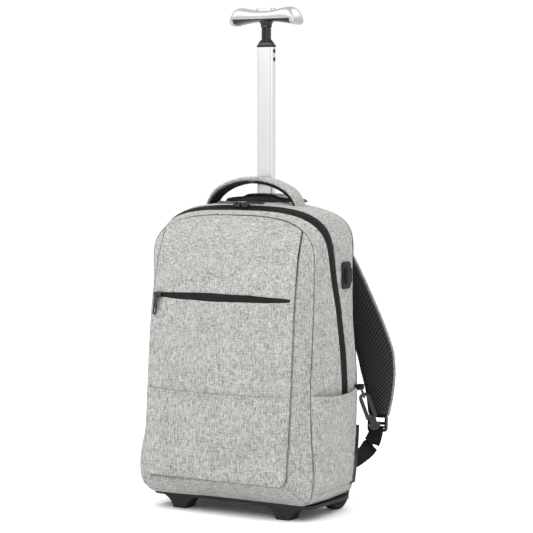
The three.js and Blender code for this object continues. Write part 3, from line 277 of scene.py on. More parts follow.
def half_outline(depth):
    """Half of the body's outline at a depth, from the middle of its foot to the middle of its top."""
    shoulder = top_at(depth) - TOP_CORNER
    corner_x = girth(CLOTH_FOOT + FOOT_CORNER, depth) - FOOT_CORNER
    a = np.linspace(0, 1, 60)
    turn = a * math.pi / 2
    z = np.linspace(CLOTH_FOOT + FOOT_CORNER, shoulder, 160)
    run = 1 - np.linspace(0, 1, 400) ** 2
    return np.vstack([
        np.column_stack([a * corner_x, np.full_like(a, CLOTH_FOOT)]),
        np.column_stack([
            corner_x + FOOT_CORNER * np.sin(turn), CLOTH_FOOT + FOOT_CORNER * (1 - np.cos(turn))
        ])[1:],
        np.column_stack([girth(z, depth), z])[1:],
        np.column_stack([
            girth(shoulder, depth) * run, shoulder + TOP_CORNER * corner_share(run)
        ])[1:],
    ])


def rows_of(rows):
    """The rows of a table, one after the other."""
    return zip(*rows.values())


def end_spread(count):
    """Shares from -1 to 1 that lie much closer together near both ends."""
    return np.sin(np.linspace(-0.5, 0.5, count) * math.pi)


def edge_spread(count):
    """Shares from -1 to 1 that lie a little closer together near both ends."""
    return 0.35 * end_spread(count) + 0.65 * np.linspace(-1, 1, count)


def rounded(values, power):
    """Raises values from -1 to 1 to a power and keeps their signs."""
    return np.sign(values) * np.abs(values) ** power


def along(points):
    """Distances along a line of points, from its start."""
    steps = np.linalg.norm(np.diff(points, axis=0), axis=1)
    return np.concatenate([[0], np.cumsum(steps)])


class Body:
    """The body's outer surface: stations round half of its outline, each read at any depth."""

    def __init__(self, count):
        self.shares = np.linspace(0, 1, count)
        self.depths = np.linspace(-0.12, 1.0, 57)
        lines = []
        for depth in self.depths:
            outline = half_outline(depth)
            s = along(outline)
            lines.append([np.interp(self.shares * s[-1], s, outline[:, k]) for k in range(2)])
        self.lines = np.array(lines)
        plane = np.array([
            [np.interp(SEAM_PLANE, self.depths, self.lines[:, k, i]) for k in range(2)]
            for i in range(count)
        ])
        self.height = (plane[:, 1] - CLOTH_FOOT) / (top_at(SEAM_PLANE) - CLOTH_FOOT)
        self.plane = plane

    def row(self, i, depth, side):
        """Points at station i and at each of several depths."""
        x = np.interp(depth, self.depths, self.lines[:, 0, i])
        z = np.interp(depth, self.depths, self.lines[:, 1, i])
        return np.column_stack([side * x, depth_to_y(depth), z])


def noise_field(points, size, seed=0):
    """Smooth noise from -1 to 1 at each point, with a feature size in millimetres."""
    flat = (np.asarray(points, float).reshape(-1, 3) / size + seed * 17.31).tolist()
    return np.array([noise.noise(p) for p in flat]).reshape(np.shape(points)[:-1])


def fractal(points, size, seed=0, octaves=3, gain=0.5):
    total = 0
    for k in range(octaves):
        total = total + noise_field(points, size / 2**k, seed + k) * gain**k
    return total


def grid_normals(grid, outward):
    """Unit normals of a grid of points, turned to the side that outward points to."""
    du = np.gradient(grid, axis=0)
    dv = np.gradient(grid, axis=1)
    n = np.cross(du, dv)
    n /= np.maximum(np.linalg.norm(n, axis=2, keepdims=True), 1e-9)
    flip = np.sign(np.sum(n * outward, axis=2, keepdims=True))
    flip[flip == 0] = 1
    return n * flip


def mesh_object(name, points, faces, uv=None):
    """A mesh from points in millimetres of the bag's own frame, with the weave's coordinates."""
    points = (np.asarray(points, float) + (0, SHIFT_Y, 0)) * MM
    mesh = bpy.data.meshes.new(name)
    mesh.from_pydata(points.tolist(), [], [list(map(int, f)) for f in faces])
    if uv is not None:
        layer = mesh.uv_layers.new(name="weave")
        loops = np.zeros(len(mesh.loops), int)
        mesh.loops.foreach_get("vertex_index", loops)
        layer.data.foreach_set("uv", (np.asarray(uv)[loops] * MM).astype(np.float32).ravel())
    mesh.update()
    mesh.shade_smooth()
    obj = bpy.data.objects.new(name, mesh)
    bpy.context.scene.collection.objects.link(obj)
    face_out(obj)
    return obj


def face_out(obj):
    """Turns all faces of closed bodies outward."""
    bm = bmesh.new()
    bm.from_mesh(obj.data)
    bmesh.ops.recalc_face_normals(bm, faces=bm.faces)
    bm.to_mesh(obj.data)
    bm.free()


def ring_faces(rings, count, loop=False):
    """Faces between rings of points, each joined to the next, in a loop or with flat ends."""
    at = np.arange(rings * count).reshape(rings, count)
    faces = [
        (at[i, k], at[i, (k + 1) % count], at[(i + 1) % rings, (k + 1) % count], at[(i + 1) % rings, k])
        for i in range(rings if loop else rings - 1) for k in range(count)
    ]
    return faces if loop else faces + [tuple(reversed(at[0])), tuple(at[-1])]


def cloth_grid(name, base, normal, lift, wall, keep=None, loop=False, turn=False):
    """A closed piece of cloth on a grid of points: its outer face is lifted, its inner face isn't."""
    rows, columns = base.shape[:2]
    outer = base + normal * np.asarray(lift)[..., None]
    inner = base - normal * np.asarray(wall if np.ndim(wall) else np.full((rows, columns), wall))[..., None]
    u = np.array([along(base[:, j]) for j in range(columns)]).T
    v = np.array([along(base[i]) for i in range(rows)])
    u = np.repeat(u[:, columns // 2][:, None], columns, 1)
    uv = np.stack([u, v] if turn else [v - v[:, -1:] / 2, u], -1).reshape(-1, 2)
    count = rows * columns
    at = np.arange(count).reshape(rows, columns)
    cells = []
    edge_use = {}
    last_row = rows if loop else rows - 1
    for i in range(last_row):
        for j in range(columns - 1):
            if keep is not None and not keep[i, j]:
                continue
            i2 = (i + 1) % rows
            quad = (at[i, j], at[i2, j], at[i2, j + 1], at[i, j + 1])
            cells.append(quad)
            for k in range(4):
                a, b = quad[k], quad[(k + 1) % 4]
                key = (a, b) if a < b else (b, a)
                edge_use.setdefault(key, []).append((a, b))
    faces = list(cells)
    faces += [tuple(count + v for v in reversed(q)) for q in cells]
    for uses in edge_use.values():
        if len(uses) == 1:
            a, b = uses[0]
            faces.append((b, a, count + a, count + b))
    points = np.vstack([outer.reshape(-1, 3), inner.reshape(-1, 3)])
    used = np.zeros(2 * count, bool)
    used[np.array([v for f in faces for v in f])] = True
    index = np.cumsum(used) - 1
    faces = [tuple(index[v] for v in f) for f in faces]
    return mesh_object(name, points[used], faces, np.vstack([uv, uv])[used])


def tube(name, lines, radius, sides=6, closed=False):
    """Round strands along lines of points, as one mesh."""
    points, faces = [], []
    for line in lines:
        line = np.asarray(line, float)
        n = len(line)
        if closed:
            tangent = np.roll(line, -1, 0) - np.roll(line, 1, 0)
        else:
            tangent = np.gradient(line, axis=0)
        tangent /= np.linalg.norm(tangent, axis=1, keepdims=True)
        across = np.cross(tangent[0], (0.3, 0.9, 0.2))
        base = len(points)
        for i in range(n):
            across = across - tangent[i] * np.dot(across, tangent[i])
            across /= np.linalg.norm(across)
            other = np.cross(tangent[i], across)
            for k in range(sides):
                a = k / sides * 2 * math.pi
                points.append(line[i] + radius * (math.cos(a) * across + math.sin(a) * other))
        steps = n if closed else n - 1
        for i in range(steps):
            for k in range(sides):
                a, b = i * sides + k, i * sides + (k + 1) % sides
                c, d = ((i + 1) % n) * sides + (k + 1) % sides, ((i + 1) % n) * sides + k
                faces.append((base + a, base + b, base + c, base + d))
        if not closed:
            faces.append(tuple(base + k for k in reversed(range(sides))))
            faces.append(tuple(base + (n - 1) * sides + k for k in range(sides)))
    return mesh_object(name, points, faces)


def edge_roll(distance, radius):
    """How far a turned edge sinks, by the distance from the edge."""
    d = np.clip(radius - distance, 0, radius)
    return -(radius - np.sqrt(np.maximum(radius**2 - d**2, 0)))


def pucker(s, distance, seed, size=0.5, period=11.0, reach=7.0):
    """Small gathers beside a seam, by the distance along it and from it."""
    points = np.stack([s / period, distance * 0.03, np.full_like(s, seed * 3.7)], -1)
    wave = noise_field(points, 1.0, seed)
    fine = noise_field(points * (2.3, 1, 1), 1.0, seed + 5)
    return size * (wave + 0.4 * fine) * np.exp(-distance / reach) * (1 - np.exp(-distance / 1.2))


BODY = Body(260)


def body_side_sink(points):
    """The broad dents in the cloth of the sides."""
    total = np.zeros(points.shape[:-1])
    for side, height, depth, radius, sink in rows_of(SIDE_DENTS):
        dz = points[..., 2] - (CLOTH_FOOT + height * BODY_HEIGHT)
        dy = points[..., 1] - depth_to_y(depth)
        r = radius * BODY_DEPTH
        here = np.sign(points[..., 0]) == side
        total = total + here * sink * BODY_DEPTH * np.exp(-(dz**2 + dy**2) / r**2)
    return total


def folds(points, rows, axis_a, axis_b):
    """Creases between two points of a plane of two axes: a valley with a soft ridge beside it."""
    total = np.zeros(points.shape[:-1])
    p = np.stack([points[..., axis_a], points[..., axis_b]], -1)
    for a0, b0, a1, b1, width, deep in rows_of(rows):
        start, line = np.array([a0, b0]), np.array([a1 - a0, b1 - b0])
        length = np.linalg.norm(line)
        way = line / length
        t = (p - start) @ way / length
        across = (p - start) @ np.array([-way[1], way[0]])
        ends = smooth((t + 0.15) / 0.3) * smooth((1.15 - t) / 0.3)
        bend = 0.12 * length * np.sin(np.clip(t, 0, 1) * math.pi)
        d = (across - bend) / width
        total = total + ends * deep * (-np.exp(-(d**2)) + 0.55 * np.exp(-((d - 1.9) ** 2) / 1.6))
    return total


# Creases in the right side's cloth: Y and Z of their ends, width and depth
RIGHT_FOLDS = table(
    "a0 b0 a1 b1 width deep",
    (-44, 300, -6, 311, 4.5, 0.9),
    (-46, 268, 10, 262, 5.0, 0.9),
    (-42, 232, 0, 238, 4.0, 0.8),
    (-40, 205, 14, 214, 4.5, 1.0),
    (-30, 352, -8, 344, 5.0, 0.7),
    (-8, 322, 18, 316, 4.0, 0.6),
    (-48, 84, -20, 96, 4.5, 1.5),
    (-50, 70, -26, 62, 4.0, 1.5),
    (-50, 118, -22, 112, 4.5, 0.9),
    (-44, 152, -12, 158, 5.0, 0.7),
)
LEFT_FOLDS = table(
    "a0 b0 a1 b1 width deep",
    (-44, 330, 4, 322, 5.0, 0.9),
    (-42, 282, -4, 290, 4.5, 0.9),
    (-44, 246, 12, 236, 5.0, 0.8),
    (-40, 214, 8, 222, 4.5, 0.9),
    (-48, 92, -18, 84, 4.5, 1.4),
    (-46, 66, -24, 58, 4.0, 1.2),
)


def body_rows(front, back, stations, columns):
    """Grid of points between two edges given by depth at each station, right side and left side."""
    rows = [BODY.row(i, np.linspace(front[i], back[i], columns), side) for i, side in stations]
    return np.array(rows)


def row_distances(grid):
    """Each point's distance along the grid's first edge, and from its two long edges."""
    s = along(grid[:, 0])[:, None] * np.ones((1, grid.shape[1]))
    d = np.array([along(row) for row in grid])
    return s, d, d[:, -1:] - d


def station_loop(first=0):
    """Stations up the right side, over the top and down the left side."""
    count = len(BODY.shares)
    down = range(count - 2, max(first, 1) - 1, -1)
    return [(i, 1) for i in range(first, count)] + [(i, -1) for i in down]


FRONT_EDGE = seam_depth(BODY.height) + (CLOTH_WALL + 2 * SEAM_GAP) / BODY_DEPTH
ZIP_LINE = read(ZIP_RUN, "height", "depth", BODY.height)
ZIP_Z = np.array([np.interp(ZIP_LINE[i], BODY.depths, BODY.lines[:, 1, i]) for i in range(len(BODY.shares))])
TAPE_HALF = TAPE_WIDTH / 2 * np.clip((ZIP_Z - TAPE_FOOT + TAPE_FADE) / TAPE_FADE, 0, 1)
LOW = BODY.plane[:, 1] < CLOTH_FOOT + FOOT_CORNER - 1e-6
ZIP_FRONT = np.where(LOW, 1.0, ZIP_LINE - (TAPE_HALF + SEAM_GAP) / BODY_DEPTH)
ZIP_BACK = ZIP_LINE + (TAPE_HALF + SEAM_GAP) / BODY_DEPTH


def body_outward(grid):
    """Rough outward directions on the body, away from its upright middle plane."""
    out = grid.copy()
    out[..., 1] = 0
    out[..., 2] = grid[..., 2] - BODY_TOP / 2
    out[..., 0] = grid[..., 0] * 1.2
    return out


def side_cloth(grid, normal):
    """Broad dents, creases and a slight unevenness of the cloth on the body's sides and top."""
    lift = -body_side_sink(grid)
    right = grid[..., 0] > 0
    flat = np.abs(normal[..., 0])
    lift = lift + np.where(right, folds(grid, RIGHT_FOLDS, 1, 2), folds(grid, LEFT_FOLDS, 1, 2)) * flat
    lift = lift + 0.5 * fractal(grid * (1, 1, 1.8), 42.0, 2)
    lift = lift + 0.2 * fractal(grid * (1, 0.6, 1.6), 13.0, 7, 2)
    mid = np.exp(-(((grid[..., 2] - 265) / 75) ** 2)) + 0.3
    near = np.exp(-np.maximum(grid[..., 1] - FRONT_SEAM_Y, 0) / 42)
    return lift + 0.75 * mid * near * flat * noise_field(grid * (1, 0.28, 1.25), 7.0, 9)


def front_gusset():
    grid = body_rows(FRONT_EDGE, ZIP_FRONT, station_loop()[:-1], 46)
    normal = grid_normals(grid, body_outward(grid))
    s, d, far = row_distances(grid)
    lift = side_cloth(grid, normal) * smooth(d / 9) * smooth(far / 7)
    lift = lift + pucker(s, d, 1, 0.6) + pucker(s, far, 2, 0.35, 14)
    lift = lift + edge_roll(d, 1.3) + edge_roll(far, 1.0)
    return cloth_grid("front_gusset_cloth", grid, normal, lift, 2.4, loop=True)


def rear_gusset():
    grid = body_rows(ZIP_BACK, np.ones_like(ZIP_BACK), station_loop(int(np.argmax(~LOW))), 40)
    normal = grid_normals(grid, body_outward(grid))
    s, d, far = row_distances(grid)
    lift = side_cloth(grid, normal) * smooth(d / 7) * smooth(far / 8)
    lift = lift + pucker(s, d, 3, 0.35, 14) + pucker(s, far, 4, 0.6)
    lift = lift + edge_roll(d, 1.0) + edge_roll(far, 1.4)
    near_post = (np.abs(grid[..., 0]) < POST_OPENING[0]) & (np.abs(grid[..., 1] - POST_Y) < POST_OPENING[1])
    hole = near_post & (grid[..., 2] > BODY_TOP - TOP_CORNER)
    keep = ~(hole[:-1, :-1] | hole[1:, :-1] | hole[:-1, 1:] | hole[1:, 1:])
    return cloth_grid("rear_gusset_cloth", grid, normal, lift, 2.4, keep=keep)


def main_zip():
    """The zip's tape, with a coil ridge down its middle."""
    stations = [(i, k) for i, k in station_loop() if ZIP_Z[i] > TAPE_FOOT]
    edge = (TAPE_WIDTH / 2 - 0.15) / BODY_DEPTH
    columns = 29
    grid = body_rows(ZIP_LINE - edge, ZIP_LINE + edge, stations, columns)
    normal = grid_normals(grid, body_outward(grid))
    across = np.linspace(-1, 1, columns)[None, :]
    coil = np.clip(1 - (across / 0.3) ** 2, 0, 1) ** 0.5
    lift = -0.9 - body_side_sink(grid) * 0.5 + coil * 1.1 + 0.15 * (np.abs(across) > 0.9)
    return cloth_grid("main_zip", grid, normal, lift, 1.2)


def panel_foot_edge(x, half):
    into = np.abs(x) - (half - PANEL_CORNER)
    rise = PANEL_CORNER - np.sqrt(np.maximum(PANEL_CORNER**2 - np.maximum(into, 0) ** 2, 0))
    return PANEL_FOOT + np.where(into <= 0, 0, rise)


def panel_top_edge(x):
    depth = np.full_like(np.asarray(x, float), 0.1)
    for _ in range(4):
        z = top_edge(x, depth)
        depth = seam_depth((z - CLOTH_FOOT) / (top_at(depth) - CLOTH_FOOT))
    return top_edge(x, depth), depth


def panel_half_width(height):
    return PANEL_WIDTH / 2 * read(PANEL_SHAPE, "height", "width", height)


def panel_y(x, z):
    top_z, top_depth = panel_top_edge(x)
    height = np.clip((z - PANEL_FOOT) / (top_z - PANEL_FOOT), 0, 1)
    across = x / panel_half_width(height)
    seam = mix(
        seam_depth((z - CLOTH_FOOT) / (top_at(top_depth) - CLOTH_FOOT)), top_depth,
        np.clip((height - 0.9) * 10, 0, 1),
    )
    middle = (1 - across**2) * 4 * height * (1 - height)
    dent = np.zeros_like(np.asarray(x, float))
    half = PANEL_WIDTH / 2
    for a, h, radius, sink in rows_of(PANEL_DENTS):
        dx = (across - a) * half
        dz = z - mix(PANEL_FOOT, top_z, h)
        r = radius * half
        dent = dent + sink * half * np.minimum(middle * 2, 1) * np.exp(-(dx**2 + dz**2) / r**2)
    stand = read(PANEL_SHAPE, "height", "stand", height)
    return depth_to_y(seam) - POCKET_STAND * stand - PANEL_CROWN * middle + dent


def mouth_half(x):
    share = np.clip(np.abs(x) / (MOUTH_LENGTH / 2), 0, 1)
    return mix(MOUTH_TIP_HEIGHT, MOUTH_HEIGHT, (1 - share**2) ** 0.6) / 2


# Creases in the front panel: X and Z of their ends, width and depth
FRONT_FOLDS = table(
    "a0 b0 a1 b1 width deep",
    (96, 92, 124, 112, 4.5, 0.9),
    (86, 72, 120, 82, 4.0, 0.7),
    (-122, 118, -96, 98, 5.0, 0.7),
    (-60, 300, 30, 306, 9.0, 0.5),
    (20, 250, 110, 262, 10.0, 0.5),
    (-110, 232, -30, 244, 10.0, 0.5),
    (-90, 398, 10, 404, 9.0, 0.5),
    (40, 372, 112, 360, 8.0, 0.5),
)


def panel_grid(columns, low, high):
    """The front panel's points: columns across it, rows up to the zip's mouth and rows above it."""
    u = edge_spread(columns)
    below = np.linspace(0, 1, low)
    above = np.linspace(0, 1, high)
    grid = np.zeros((columns, low + high, 3))
    half = panel_half_width(0.0)
    for i, across in enumerate(u):
        foot = panel_foot_edge(across * half, half)
        top = panel_top_edge(np.array([across * PANEL_WIDTH / 2 * 0.96]))[0][0]
        for _ in range(3):
            z = np.concatenate([mix(foot, MOUTH_LEVEL, below), mix(MOUTH_LEVEL, top, above)])
            x = across * panel_half_width((z - foot) / (top - foot))
            top = panel_top_edge(x[-1:])[0][0]
        side = np.where(np.arange(len(z)) < low, -1, 1)
        z = z + side * mouth_half(x) * np.exp(-(((z - MOUTH_LEVEL) / 26) ** 2))
        grid[i] = np.stack([x, panel_y(x, z), z], -1)
    return grid


def panel_lift(grid):
    """Unevenness of the front panel's cloth."""
    lift = 0.7 * fractal(grid * (1, 1, 1.3), 60.0, 11) + 0.12 * fractal(grid, 15.0, 13, 2)
    return lift + folds(grid, FRONT_FOLDS, 0, 2)


def edge_distances(grid):
    """Each point's distance from the grid's left and right edges and from its foot and top."""
    columns, rows = grid.shape[:2]
    v = np.array([along(grid[i]) for i in range(columns)])
    u = np.array([along(grid[:, j]) for j in range(rows)]).T
    return np.minimum(u, u[-1:] - u), v, v[:, -1:] - v


def front_panel():
    """The panel's cloth, parted along the mouth of the front zip."""
    low = 120
    grid = panel_grid(131, low, 56)
    normal = grid_normals(grid, FORWARD)
    side, foot, top = edge_distances(grid)
    s = grid[..., 2] - grid[..., 0]
    level = np.arange(grid.shape[1]) >= low
    lip = np.where(level, grid[..., 2] - grid[:, low:low + 1, 2], grid[:, low - 1:low, 2] - grid[..., 2])
    near = np.abs(grid[..., 0]) < MOUTH_LENGTH / 2
    edge = np.minimum(np.minimum(side, foot), top)
    lift = panel_lift(grid) * smooth(edge / 12)
    lift = lift + pucker(s, edge, 21, 0.45, 12) + edge_roll(edge, 1.3)
    lip = np.maximum(lip, 0)
    lift = lift + np.where(near, edge_roll(lip, 1.4) + pucker(grid[..., 0], lip, 23, 0.5, 16, 9), 0)
    keep = np.ones((grid.shape[0] - 1, grid.shape[1] - 1), bool)
    span = grid[:, low - 1, 0]
    inside = np.abs((span[:-1] + span[1:]) / 2) < MOUTH_LENGTH / 2
    keep[inside, low - 1] = False
    return cloth_grid("front_panel_cloth", grid, normal, lift, 2.3, keep=keep, turn=True)


def panel_point(across, height):
    """A point of the front panel's surface, by shares of its half width and height."""
    height = np.asarray(height, float)
    x = across * panel_half_width(height)
    foot = panel_foot_edge(across * panel_half_width(0.0), panel_half_width(0.0))
    z = mix(foot, panel_top_edge(x)[0], height)
    return np.stack([x, panel_y(x, z), z], -1)


def seam_point(z):
    """The front body seam at the right, at a height."""
    depth = seam_depth_at(z)
    return np.stack([half_width(z, depth), depth_to_y(depth) + CLOTH_WALL + SEAM_GAP, z], -1)


def pocket_edges():
    """The pocket gusset's two edges, down the right side, round its corner and along its foot."""
    height = np.linspace(GUSSET_TOP_SHARE, 0, 150)
    side = panel_point(1.0, height)
    rise = (side[:, 2] - side[-1, 2]) / (side[0, 2] - side[-1, 2])
    outer = seam_point(mix(CLOTH_FOOT + FOOT_CORNER, side[0, 2], rise))
    half = panel_half_width(0.0)
    turn = np.linspace(0, 1, 17)[1:] * math.pi / 2
    c, s = 1 - np.cos(turn), 1 - np.sin(turn)
    x = np.concatenate([half - PANEL_CORNER * c, (half - PANEL_CORNER) * np.linspace(1, 0, 60)[1:]])
    z = PANEL_FOOT + np.concatenate([PANEL_CORNER * s, np.zeros(59)])
    low = np.stack([x, panel_y(x, z), z], -1)
    end = outer[-1]
    x2 = np.concatenate([end[0] - FOOT_CORNER * c, (end[0] - FOOT_CORNER) * np.linspace(1, 0, 60)[1:]])
    z2 = CLOTH_FOOT + np.concatenate([FOOT_CORNER * s, np.zeros(59)])
    low_outer = np.stack([x2, np.full_like(x2, end[1]), z2], -1)
    inner = np.vstack([side, low]) + (0, CLOTH_WALL + 2 * SEAM_GAP, 0)
    outer = np.vstack([outer, low_outer])
    flip = np.array([-1, 1, 1])
    return (np.vstack([inner, inner[-2::-1] * flip]), np.vstack([outer, outer[-2::-1] * flip]), 150 + 8)


# Creases of the pocket's gusset near its foot: share along its edge, share across, size and depth
GUSSET_CREASES = table(
    "row across along width sink",
    (118, 0.3, 5, 0.28, 1.1),
    (126, 0.65, 6, 0.22, 1.3),
    (134, 0.4, 5, 0.25, 1.2),
    (142, 0.7, 4, 0.2, 1.5),
    (168, 0.45, 5, 0.3, 1.4),
    (178, 0.7, 6, 0.25, 1.1),
    (262, 0.6, 8, 0.25, 1.0),
    (284, 0.4, 5, 0.3, 1.3),
)


def pocket_gusset():
    """The wedge of cloth round the front pocket, with mitre seams at its lower corners."""
    inner, outer, mitre = pocket_edges()
    columns = 33
    t = np.linspace(0, 1, columns)[None, :, None]
    grid = inner[:, None] * (1 - t) + outer[:, None] * t
    rows = len(grid)
    out = grid.copy()
    out[..., 1] = 0
    out[..., 2] -= BODY_TOP / 2
    normal = grid_normals(grid, out)
    s, d, far = row_distances(grid)
    edge = np.minimum(d, far)
    width = np.maximum(d[:, -1:], 1)
    across = d / width
    belly = 4 * across * (1 - across)
    low = np.exp(-((np.maximum(grid[..., 2] - 62, 0) / 60) ** 2))
    left = smooth(-grid[..., 0] / 90)
    right = smooth(grid[..., 0] / 90)
    puff = 1.0 + low * (10.0 * left + 1.5 * right + 1.8 * (1 - left - right))
    index = np.arange(rows)[:, None]
    lift = puff * belly**0.8 * smooth(width / 20) + 0.5 * fractal(grid, 22.0, 31) * smooth(edge / 8)
    lift = lift + pucker(s, d, 33, 0.55, 9) + pucker(s, far, 35, 0.55, 10)
    for row, across, run, wide, sink in rows_of(GUSSET_CREASES):
        hollow = np.exp(-(((index - row) / run) ** 2) - ((d / width - across) / wide) ** 2)
        lift = lift - sink * hollow * smooth(edge / 5)
    for at in (mitre, rows - 1 - mitre):
        gap = np.abs(s - s[at])
        lift = lift - 1.5 * np.exp(-((gap / 1.3) ** 2)) * smooth(edge / 2) + pucker(d, gap, 37, 0.6, 8, 8)
    lift = lift + edge_roll(d, 1.2) + edge_roll(far, 1.2)
    piece = cloth_grid("pocket_gusset_cloth", grid, normal, lift, 2.2)
    return piece, grid + normal * (lift + 0.1)[..., None]


def slip_pocket():
    """The low pocket of thin cloth, sewn into the panel's side and foot seams and open at its top."""
    columns, count = 121, 92
    u = edge_spread(columns)
    grid = np.zeros((columns, count, 3))
    half = panel_half_width(0.0)
    for i, across in enumerate(u):
        foot = panel_foot_edge(across * half, half) + 0.4
        z = mix(foot, SLIP_TOP + 2.5 * across**2, np.linspace(0, 1, count))
        height = (z - foot) / (452.0 - foot)
        x = across * (panel_half_width(height) - 0.2)
        grid[i] = np.stack([x, panel_y(x, z) - SLIP_WALL - SLIP_GAP, z], -1)
    normal = grid_normals(grid, FORWARD)
    side, foot, top = edge_distances(grid)
    edge = np.minimum(side, foot)
    s = grid[..., 2] - grid[..., 0]
    lift = 0.7 * panel_lift(grid) * smooth(edge / 12)
    lift = lift + 0.9 * smooth(edge / 30) * (0.6 + 0.4 * smooth(top / 40))
    lift = lift + pucker(s, edge, 41, 0.45, 10) - 1.7 * np.exp(-edge / 2.2) + edge_roll(edge, 0.9)
    hem = 1.3 * np.exp(-(((top - 1.2) / 2.4) ** 2)) - 0.6 * np.exp(-(((top - 9.5) / 0.8) ** 2))
    lift = lift + hem * smooth(side / 8) + edge_roll(top, 0.8)
    return cloth_grid("slip_pocket_cloth", grid, normal, lift, 1.4, turn=True)


def front_zip_strip():
    """The front zip's tape and coil, set back in the panel's mouth."""
    reach = MOUTH_LENGTH / 2 - 0.5
    columns, count = 121, 25
    x = np.linspace(-reach, reach, columns)
    across = np.linspace(-1, 1, count)
    z = MOUTH_LEVEL + (mouth_half(x)[:, None] + 1.2) * across[None, :]
    grid = np.stack([x[:, None] * np.ones((1, count)), panel_y(x[:, None] * np.ones((1, count)), z), z], -1)
    normal = grid_normals(grid, FORWARD)
    coil = np.clip(1 - (across / 0.33) ** 2, 0, 1) ** 0.5
    lift = -2.9 + 1.6 * coil[None, :] - 0.4 * smooth(np.abs(across) * 2)[None, :]
    return cloth_grid("front_zip_strip", grid, normal, lift, 0.9, turn=True)


# Creases in the side pocket: Y and Z of their ends, width and depth
POCKET_FOLDS = table(
    "a0 b0 a1 b1 width deep",
    (-36, 96, -10, 104, 4.0, 1.3),
    (-38, 78, -20, 88, 4.0, 1.0),
    (-30, 166, 8, 158, 7.0, 0.9),
    (0, 120, 40, 138, 8.0, 0.7),
    (22, 64, 58, 78, 6.0, 0.8),
)


SIDE_POCKET_TOP = 190.0
SIDE_POCKET_SAG = 5.0
SIDE_POCKET_PUFF = 8.5


def side_pocket(side):
    """The pocket of cloth on a side: sewn in at the front seam, the foot and the rear edge."""
    columns, count = 70, 100
    y0 = depth_to_y(seam_depth(0.2)) + CLOTH_WALL + 1.6
    y1 = BACK_SEAM_Y - 1.5
    share = np.linspace(0, 1, columns)
    grid = np.zeros((columns, count, 3))
    rise = np.linspace(0, 1, count)
    for i, s in enumerate(share):
        y = mix(y0, y1, s)
        top = SIDE_POCKET_TOP - SIDE_POCKET_SAG * math.sin(math.pi * s) + 2.0 * s
        z = mix(CLOTH_FOOT + FOOT_CORNER + 0.4, top, rise)
        x = girth(z, y_to_depth(np.full(count, y))) + 0.5
        grid[i] = np.stack([x, np.full(count, y), z], -1)
    normal = grid_normals(grid, (1, 0, 0))
    v = np.array([along(grid[i]) for i in range(columns)])
    top = v[:, -1:] - v
    edge = np.minimum(np.minimum(grid[..., 1] - y0, y1 - grid[..., 1]), v)
    puff = SIDE_POCKET_PUFF * (np.sin(math.pi * share) ** 0.8)[:, None] * (rise[None, :] ** 1.5)
    s = grid[..., 2] + grid[..., 1]
    lift = 2.3 + puff * smooth(edge / 14) + 0.5 * fractal(grid, 30.0, 51) * smooth(edge / 10)
    lift = lift + folds(grid, POCKET_FOLDS, 1, 2) * smooth(edge / 6)
    lift = lift + pucker(s, edge, 53, 0.6, 10) - 1.9 * np.exp(-edge / 2.0) + edge_roll(edge, 1.0)
    hem = 0.6 * np.exp(-(((top - 2) / 1.8) ** 2)) - 0.6 * np.exp(-(((top - 12) / 0.8) ** 2))
    lift = lift + hem + pucker(grid[..., 1], top, 55, 0.3, 12, 6) + edge_roll(top, 0.9)
    if side < 0:
        grid = grid * (-1, 1, 1)
        normal = normal * (-1, 1, 1)
    label = "right" if side > 0 else "left"
    return cloth_grid(f"side_pocket_cloth_{label}", grid, normal, lift, 2.1 - lift, turn=True)


def back_panel():
    """The flat panel of the back, under the pads and straps."""
    columns, count = 61, 90
    u = end_spread(columns)
    height = np.linspace(0, 1, count)
    foot_x = girth(CLOTH_FOOT + FOOT_CORNER, 1.0)
    grid = np.zeros((columns, count, 3))
    side_z = mix(CLOTH_FOOT + FOOT_CORNER, top_at(1.0) - TOP_CORNER, height)
    for i, across in enumerate(u):
        x = across * girth(side_z, 1.0)
        into = np.maximum(np.abs(x) - (foot_x - FOOT_CORNER), 0)
        low = CLOTH_FOOT + FOOT_CORNER - np.sqrt(np.maximum(FOOT_CORNER**2 - into**2, 0))
        z = mix(low, top_edge(x, 1.0), height)
        grid[i] = np.stack([x, np.full(count, BACK_SEAM_Y + SEAM_GAP + CLOTH_WALL), z], -1)
    normal = grid_normals(grid, REARWARD)
    side, foot, top = edge_distances(grid)
    edge = np.minimum(np.minimum(side, foot), top)
    s = grid[..., 2] + grid[..., 0]
    lift = -0.6 + 0.3 * fractal(grid, 34.0, 61) + pucker(s, edge, 63, 0.5, 11) + edge_roll(edge, 1.4)
    return cloth_grid("back_panel_cloth", grid, normal, lift, 1.8, turn=True)


# The pads of the back: their names, foot, top and how much their corners draw in
PADS = (("back_pad", 232.0, 424.0, 0.12), ("lumbar_pad", 112.0, 222.0, 0.08))
PAD_WIDTH = 226.0
PAD_WALL = 9.0


